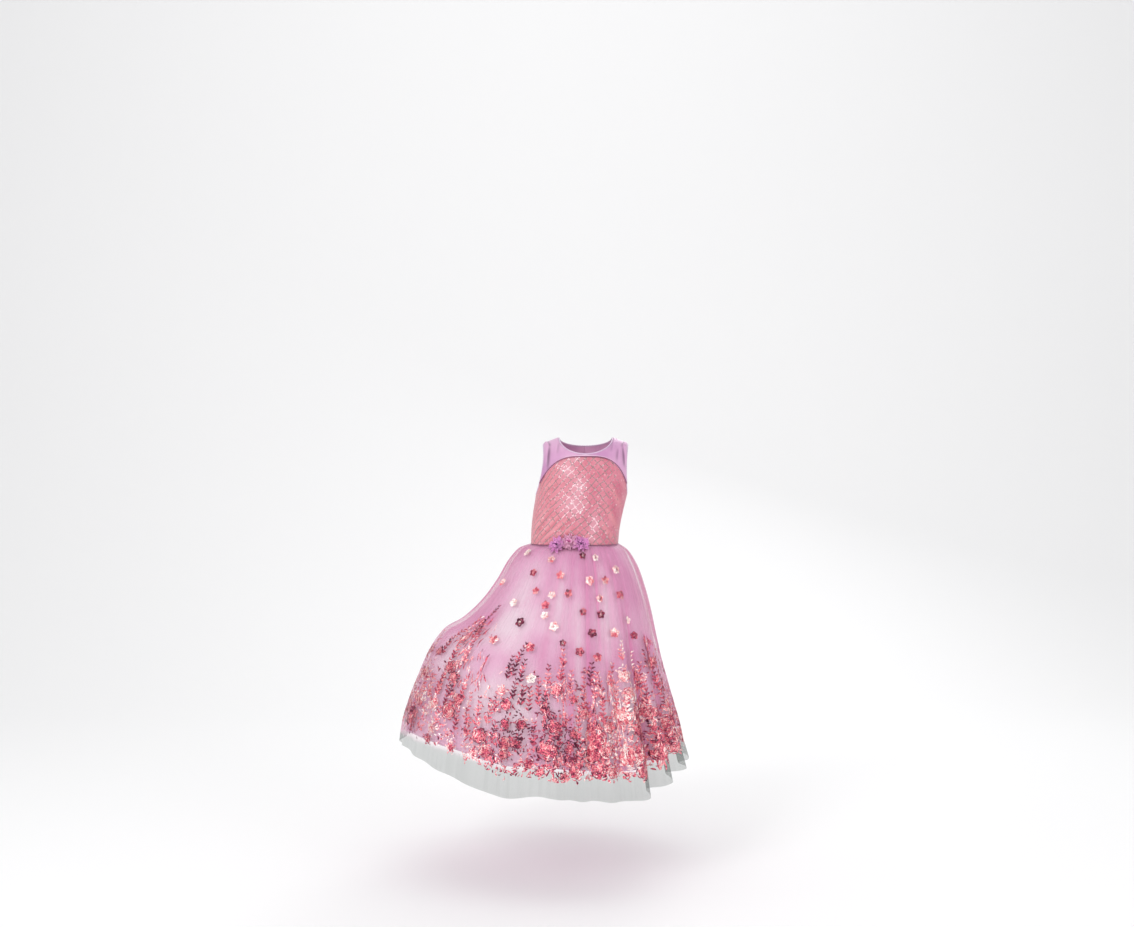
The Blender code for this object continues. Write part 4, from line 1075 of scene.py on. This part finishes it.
def blossom(chance, radius, tone):
    """Five petals round a middle, each a full fleck that points outwards, with a dark slit on it."""
    turn = chance.uniform(0, 2) + np.arange(5) * 2 * math.pi / 5
    ways, between = compass(turn), compass(turn + 0.63)
    shade = np.clip(tone + chance.uniform(-0.16, 0.16, 5), 0, 1)
    petals = flecks(0.10 * radius * ways, 1.12 * radius * ways, 0, 0.92 * radius, shade)
    slit = 0.0 if tone > 0.3 else 0.7
    slits = flecks(0.40 * radius * ways, 0.85 * radius * ways, 0.08, 0.08 * radius, slit)
    middle = flecks(0.06 * radius * between, 0.36 * radius * between, 0, 0.12 * radius, 1 - tone)
    return [petals, slits, middle]


def rose(chance, radius, tone):
    """Rings of bowed flecks, more of them in each wider ring, as the edges of a rose's petals."""
    ways = compass(chance.uniform(0, 6) + np.arange(6) * 1.047)
    ground = 0.36 + 0.24 * tone + chance.uniform(-0.12, 0.12, 6)
    made = [flecks(0.06 * radius * ways, 0.98 * radius * ways, 0.1, 0.52 * radius, ground)]
    for reach, count in ((0.14, 2), (0.34, 3), (0.56, 5), (0.80, 6), (1.06, 7)):
        first = chance.uniform(0, 6)
        uneven = np.arange(count) + chance.uniform(-0.16, 0.16, count)
        turn = first + uneven * 2 * math.pi / count
        half = math.pi / count * 0.80
        size = radius * reach * chance.uniform(0.86, 1.10, count)[:, None]
        bow = -1.5 * (1 - math.cos(half)) / (2 * math.sin(half))
        start, end = size * compass(turn - half), size * compass(turn + half)
        shade = np.clip(tone - 0.22 + chance.uniform(-0.25, 0.30, count), 0, 1)
        made.append(flecks(start, end, bow, radius * chance.uniform(0.11, 0.19, count), shade))
        made.append(flecks(0.86 * start, 0.90 * end, bow, radius * 0.07, np.clip(shade + 0.5, 0, 1)))
    ways = compass(chance.uniform(0, 6) + np.arange(5) * 1.26 + chance.uniform(-0.3, 0.3, 5))
    tips = radius * chance.uniform(1.45, 1.80, 5)[:, None] * ways
    shade = np.clip(tone + chance.uniform(-0.3, 0.3, 5), 0, 1)
    made.append(flecks(1.15 * radius * ways, tips, 0.12, 0.30 * radius, shade))
    return made


def spray(chance, length, tone):
    """Upright sprig: a thin bowed stem, and leaves in pairs that lean out from it and shrink upwards."""
    pairs = max(3, int(length / 0.0085))
    along = (np.arange(pairs) + 0.5) / pairs
    bow = chance.uniform(-0.15, 0.15)
    stem = np.array([[bow * length, length]])
    places = along[:, None] * stem + np.stack([-1.2 * bow * length * along * (1 - along), 0 * along], axis=-1)
    made = [flecks(np.zeros((1, 2)), stem, 0.3 * bow, 0.0010, max(tone - 0.2, 0))]
    for hand in (-1, 1):
        lean = math.pi / 2 - hand * chance.uniform(0.55, 1.0, pairs)
        size = (0.0115 - 0.0045 * along) * chance.uniform(0.75, 1.15, pairs)
        foot = places + 0.0012 * compass(lean)
        shade = np.clip(tone + chance.uniform(-0.25, 0.25, pairs), 0, 1)
        made.append(flecks(foot, foot + size[:, None] * compass(lean), hand * 0.14, 0.42 * size, shade))
    return [(corners - np.array([0, length / 2]), shade) for corners, shade in made]


def streak_patch(chance, tall, wide, count, tone):
    """Long narrow flecks, one under the other, that fill a patch drawn together by a fold."""
    count = int(count)
    foot = np.stack([chance.normal(0, wide / 3, count), chance.uniform(-tall / 2, tall / 2, count)], axis=-1)
    size = chance.uniform(0.007, 0.024, count)
    lean = math.pi / 2 + foot[:, 0] / wide * 0.7 + chance.normal(0, 0.12, count)
    shade = np.clip(tone + chance.normal(0, 0.18, count), 0, 1)
    bend, width = chance.uniform(-0.1, 0.1, count), chance.uniform(0.0012, 0.0034, count)
    return [flecks(foot, foot + size[:, None] * compass(lean), bend, width, shade)]


def filler(chance, tone):
    """Loose twig of two to six leaves and petal edges that lie about one place."""
    count = int(chance.integers(2, 7))
    turn = chance.uniform(0, 6.28, count)
    foot = chance.normal(0, 0.0050, (count, 2))
    size = chance.uniform(0.0040, 0.0095, count)
    width = size * chance.uniform(0.22, 0.52, count)
    shade = np.clip(tone + chance.normal(0, 0.14, count), 0, 1)
    bend = chance.uniform(-0.25, 0.25, count)
    return [flecks(foot, foot + size[:, None] * compass(turn), bend, width, shade)]


def print_half(name, start):
    """All the foil of one half, laid out in metres, then carried onto the net's folds.

    A level's length over broad folds, added up from one side, turns metres across into an angle.
    """
    chance = np.random.default_rng(PRINT_SEED + start)
    angles = math.radians(start) + np.linspace(0, math.pi, 1500)
    levels = np.linspace(0.02, 0.98, 49)
    around, down = np.broadcast_arrays(angles[None, :], levels[:, None])
    grid, outward = skirt_base(around, down)
    height = PRINT_FOLDS * fold_height(around, down) + gather_height(around, down)
    grid = grid + outward * height[..., None]
    lengths = np.cumsum(np.linalg.norm(np.diff(grid, axis=1, prepend=grid[:, :1]), axis=-1), axis=1)
    tall = np.linalg.norm(np.gradient(grid, levels, axis=0), axis=-1)

    def seen(rows):
        return rows["angle"] if start else 360 - rows["angle"]

    laid = []
    for _ in range(FILLERS):
        a = start + chance.uniform(3, 177)
        level = PRINT_END - abs(chance.normal(0, 0.15))
        away = np.hypot((seen(ROSES) - a) * 0.0052, (ROSES["share"] - level) * 0.52) / ROSES["radius"]
        near = np.exp(-(((seen(ROSES) - a) / 7) ** 2) - ((ROSES["share"] - level) / 0.06) ** 2) + 1e-9
        tone = float(np.clip(np.sum(near * ROSES["tone"]) / np.sum(near) + chance.normal(0, 0.15), 0, 1))
        drawn_out = math.exp(-((((a if start else 360 - a) - 225) / 22) ** 2))
        free = level > 0.46 + 0.10 * drawn_out and away.min() > 1.0
        if free and chance.uniform() > 0.15 + 0.60 * drawn_out:
            laid.append((a, level, filler(chance, tone)))
    for rows, draw in ((ROSES, rose), (BLOSSOMS, blossom), (SPRAYS, spray), (STREAKS, streak_patch)):
        for a, row in zip(seen(rows), rows):
            laid.append((a, row["share"], draw(chance, *row.item()[2:])))

    places, tones = [], []
    for middle, level, parts in laid:
        row = int(np.argmin(np.abs(levels - level)))
        corners = np.concatenate([part[0] for part in parts])
        here = np.interp(math.radians(middle), angles, lengths[row])
        along = np.interp(here + corners[..., 0], lengths[row], angles)
        metres = np.interp(math.radians(middle), angles, tall[row])
        places.append(np.stack([along, level - corners[..., 1] / metres], axis=-1))
        tones.append(np.concatenate([part[1] for part in parts]))
    places, tones = np.concatenate(places), np.concatenate(tones)
    around, down = places[..., 0].reshape(len(places), -1), places[..., 1].reshape(len(places), -1)
    kept = (around.min(axis=1) > angles[0] + 0.003) & (around.max(axis=1) < angles[-1] - 0.003)
    kept &= (down.max(axis=1) < PRINT_END + 0.03) & (down.min(axis=1) > 0.01)
    places, tones = places[kept], tones[kept]
    angle, share = places[..., 0].ravel(), places[..., 1].ravel()
    proud = PRINT_PROUD * (0.6 + 1.2 * np.linspace(0, 1, len(angle)))[:, None]
    points = net_shape(angle, share) + surface_normals(net_shape, angle, share) * proud
    corner = np.arange(len(angle)).reshape(-1, FLECK_ROWS, 2)
    faces = np.stack([corner[:, :-1, 0], corner[:, 1:, 0], corner[:, 1:, 1], corner[:, :-1, 1]], axis=-1)
    uv = np.stack([angle * 0.30, share * 0.53], axis=-1)
    tint = np.repeat(tones, FLECK_ROWS * 2)
    faces = faces.reshape(-1, 4)
    return add_piece(name, points, faces, FOIL, uv=uv, tints={"tone": tint}, slot="lilac_tulle")


def foil_material():
    """Thin metal foil, crazed into facets: its tone picks maroon, coral or champagne, and each facet and
    broad patch shifts it lighter and darker as painted glints and painted shade.
    """
    material, tree, shader = new_material("print_foil", (0.8, 0.3, 0.3), Roughness=0.34)
    place = add_node(tree, "ShaderNodeUVMap", uv_map="cloth").outputs[0]
    facets = add_node(tree, "ShaderNodeTexVoronoi", {"Vector": place, "Scale": 520.0}, feature="F1")
    chance = add_node(tree, "ShaderNodeSeparateColor", {0: facets.outputs["Color"]})
    # Painted glints and shade: each facet, and broad patches, move the tone lighter and darker
    vary = remap(tree, chance.outputs[0], 0, 1, -0.22, 0.22)
    vary = calculate(tree, "ADD", attribute(tree, "tone"), vary)
    broad = remap(tree, noise(tree, place, 60.0, 3.0), 0.3, 0.7, -0.16, 0.16)
    color = color_ramp(tree, calculate(tree, "ADD", vary, broad), FOIL_TONES)
    tree.links.new(color, shader.inputs["Base Color"])
    tree.links.new(remap(tree, chance.outputs[1], 0, 1, 0.35, 0.75), shader.inputs["Metallic"])
    tree.links.new(remap(tree, chance.outputs[2], 0, 1, 0.22, 0.48), shader.inputs["Roughness"])
    emboss(tree, shader, facets.outputs["Distance"], 0.6, 0.0008)
    return material


FOIL = foil_material()
print_front = print_half("foil_print_front", 180)
print_back = print_half("foil_print_back", 0)


# Waist flowers: three rosettes of gathered organza, orchid and pink, sewn to the waist seam a
# little left of the middle. Each is one strip gathered into four rounds of ruffled petals.
FLOWERS = (
    ("flower_left", (-0.0650, -0.0804, -0.2345), -20, 0.0188, 0.0042),
    ("flower_middle", (-0.0390, -0.0798, -0.2280), -6, 0.0186, 0.0052),
    ("flower_right", (-0.0130, -0.0808, -0.2325), 8, 0.0184, 0.0042),
)
FLOWER_TILT = math.radians(25)
PETAL_ROUNDS = table("petals reach lift cup turn", [
    (9, 1.16, 0.0004, 0.00, 0.0), (8, 1.02, 0.0020, 0.30, 0.5), (7, 0.84, 0.0038, 0.65, 0.2),
    (5, 0.60, 0.0054, 1.00, 0.6),
])
ORGANZA_CLOTH = 0.0002
PETAL_ROWS, PETAL_COLUMNS, PETAL_FULLNESS = 14, 13, 1.9


def organza_material(name, dark, light):
    """Crisp sheer organza: dark at the gathered middle, pale towards the frayed petal edges."""
    material, tree, shader = new_material(name, light, Roughness=0.45, Sheen_Weight=0.5)
    place, _, _ = weave(tree, shader, 1500, 0.0002, 0.3)
    cloud = remap(tree, noise(tree, place, 160.0, 3.0), 0.3, 0.7, -0.25, 0.25)
    blend = calculate(tree, "ADD", attribute(tree, "reach"), cloud)
    away = add_node(tree, "ShaderNodeVectorMath", {0: place}, operation="LENGTH").outputs["Value"]
    near = remap(tree, away, 0.006, 0.013, 1.0, 0.0)
    specks = calculate(tree, "MULTIPLY", remap(tree, noise(tree, place, 330.0, 1.0), 0.51, 0.56), near)
    color = mix_colors(tree, remap(tree, blend, 0.06, 0.34), dark, light)
    tree.links.new(mix_colors(tree, specks, color, dark), shader.inputs["Base Color"])
    tree.links.new(remap(tree, blend, 0.2, 1.0, 1.0, 0.86), shader.inputs["Alpha"])
    return material


def rosette(name, back, turn, radius, stem, material):
    """Petals over (along, across): each flares out from the seam, cups up, and ruffles at its edge."""
    side = math.radians(turn)
    level = math.cos(FLOWER_TILT)
    face = np.array([math.sin(side) * level, -math.cos(side) * level, math.sin(FLOWER_TILT)])
    right = unit(np.cross(np.array([0.0, 0.0, 1.0]), face))
    up = np.cross(face, right)
    chance = np.random.default_rng(int(radius * 1e5))
    along = np.linspace(0.04, 1, PETAL_ROWS)[:, None]
    across = np.linspace(-1, 1, PETAL_COLUMNS)[None, :]
    points, reaches, faces, uv = [], [], [], []
    for petals in PETAL_ROUNDS:
        for i in range(int(petals["petals"])):
            way = (i + petals["turn"] + chance.uniform(-0.15, 0.15)) * 2 * math.pi / petals["petals"]
            long = radius * petals["reach"] * chance.uniform(0.76, 1.10)
            wide = long * PETAL_FULLNESS / petals["petals"] * PETAL_FULLNESS
            wide = wide * np.sin(math.pi * (0.05 + 0.80 * along**0.8)) ** 0.6
            ruffle = 0.17 * long * along**1.6 * np.sin(chance.uniform(5, 10) * across + chance.uniform(0, 6))
            curl = 0.22 * long * (petals["cup"] * along**1.5 - 0.35 * along**4)
            height = (stem + petals["lift"]) * (1 - (1 - along) ** 3) + curl + ruffle
            height = height + 0.10 * long * along * across**2
            out = long * along * (1 - 0.25 * petals["cup"] * along) * (1 - 0.10 * across**2)
            wave = out + 0.06 * long * along**3 * np.cos(3 * across + chance.uniform(0, 6))
            x = wave * math.cos(way) - wide / 2 * across * math.sin(way)
            y = wave * math.sin(way) + wide / 2 * across * math.cos(way)
            faces.append(grid_faces(PETAL_ROWS, PETAL_COLUMNS) + len(points) * PETAL_ROWS * PETAL_COLUMNS)
            point = np.array(back) + x[..., None] * right + y[..., None] * up
            points.append(point + height[..., None] * face)
            reaches.append(along + 0 * across)
            uv.append(np.stack([x, y], axis=-1))
    made = add_piece(
        f"{name}_rosette", np.array(points), np.concatenate(faces), material,
        uv=np.array(uv),
        tints={"reach": np.array(reaches)},
        slot="pink_organza" if name == "flower_middle" else "orchid_organza",
        stands_for=[name],
    )
    solid = made.modifiers.new("thickness", "SOLIDIFY")
    solid.thickness, solid.offset = ORGANZA_CLOTH, 0
    return made


ORCHID = organza_material("orchid_organza", (0.16, 0.01, 0.15), (1.0, 0.43, 0.84))
PINK = organza_material("pink_organza", (0.60, 0.12, 0.38), (1.0, 0.55, 0.76))
for name, back, turn, radius, stem in FLOWERS:
    bloom = rosette(name, back, turn, radius, stem, PINK if name == "flower_middle" else ORCHID)
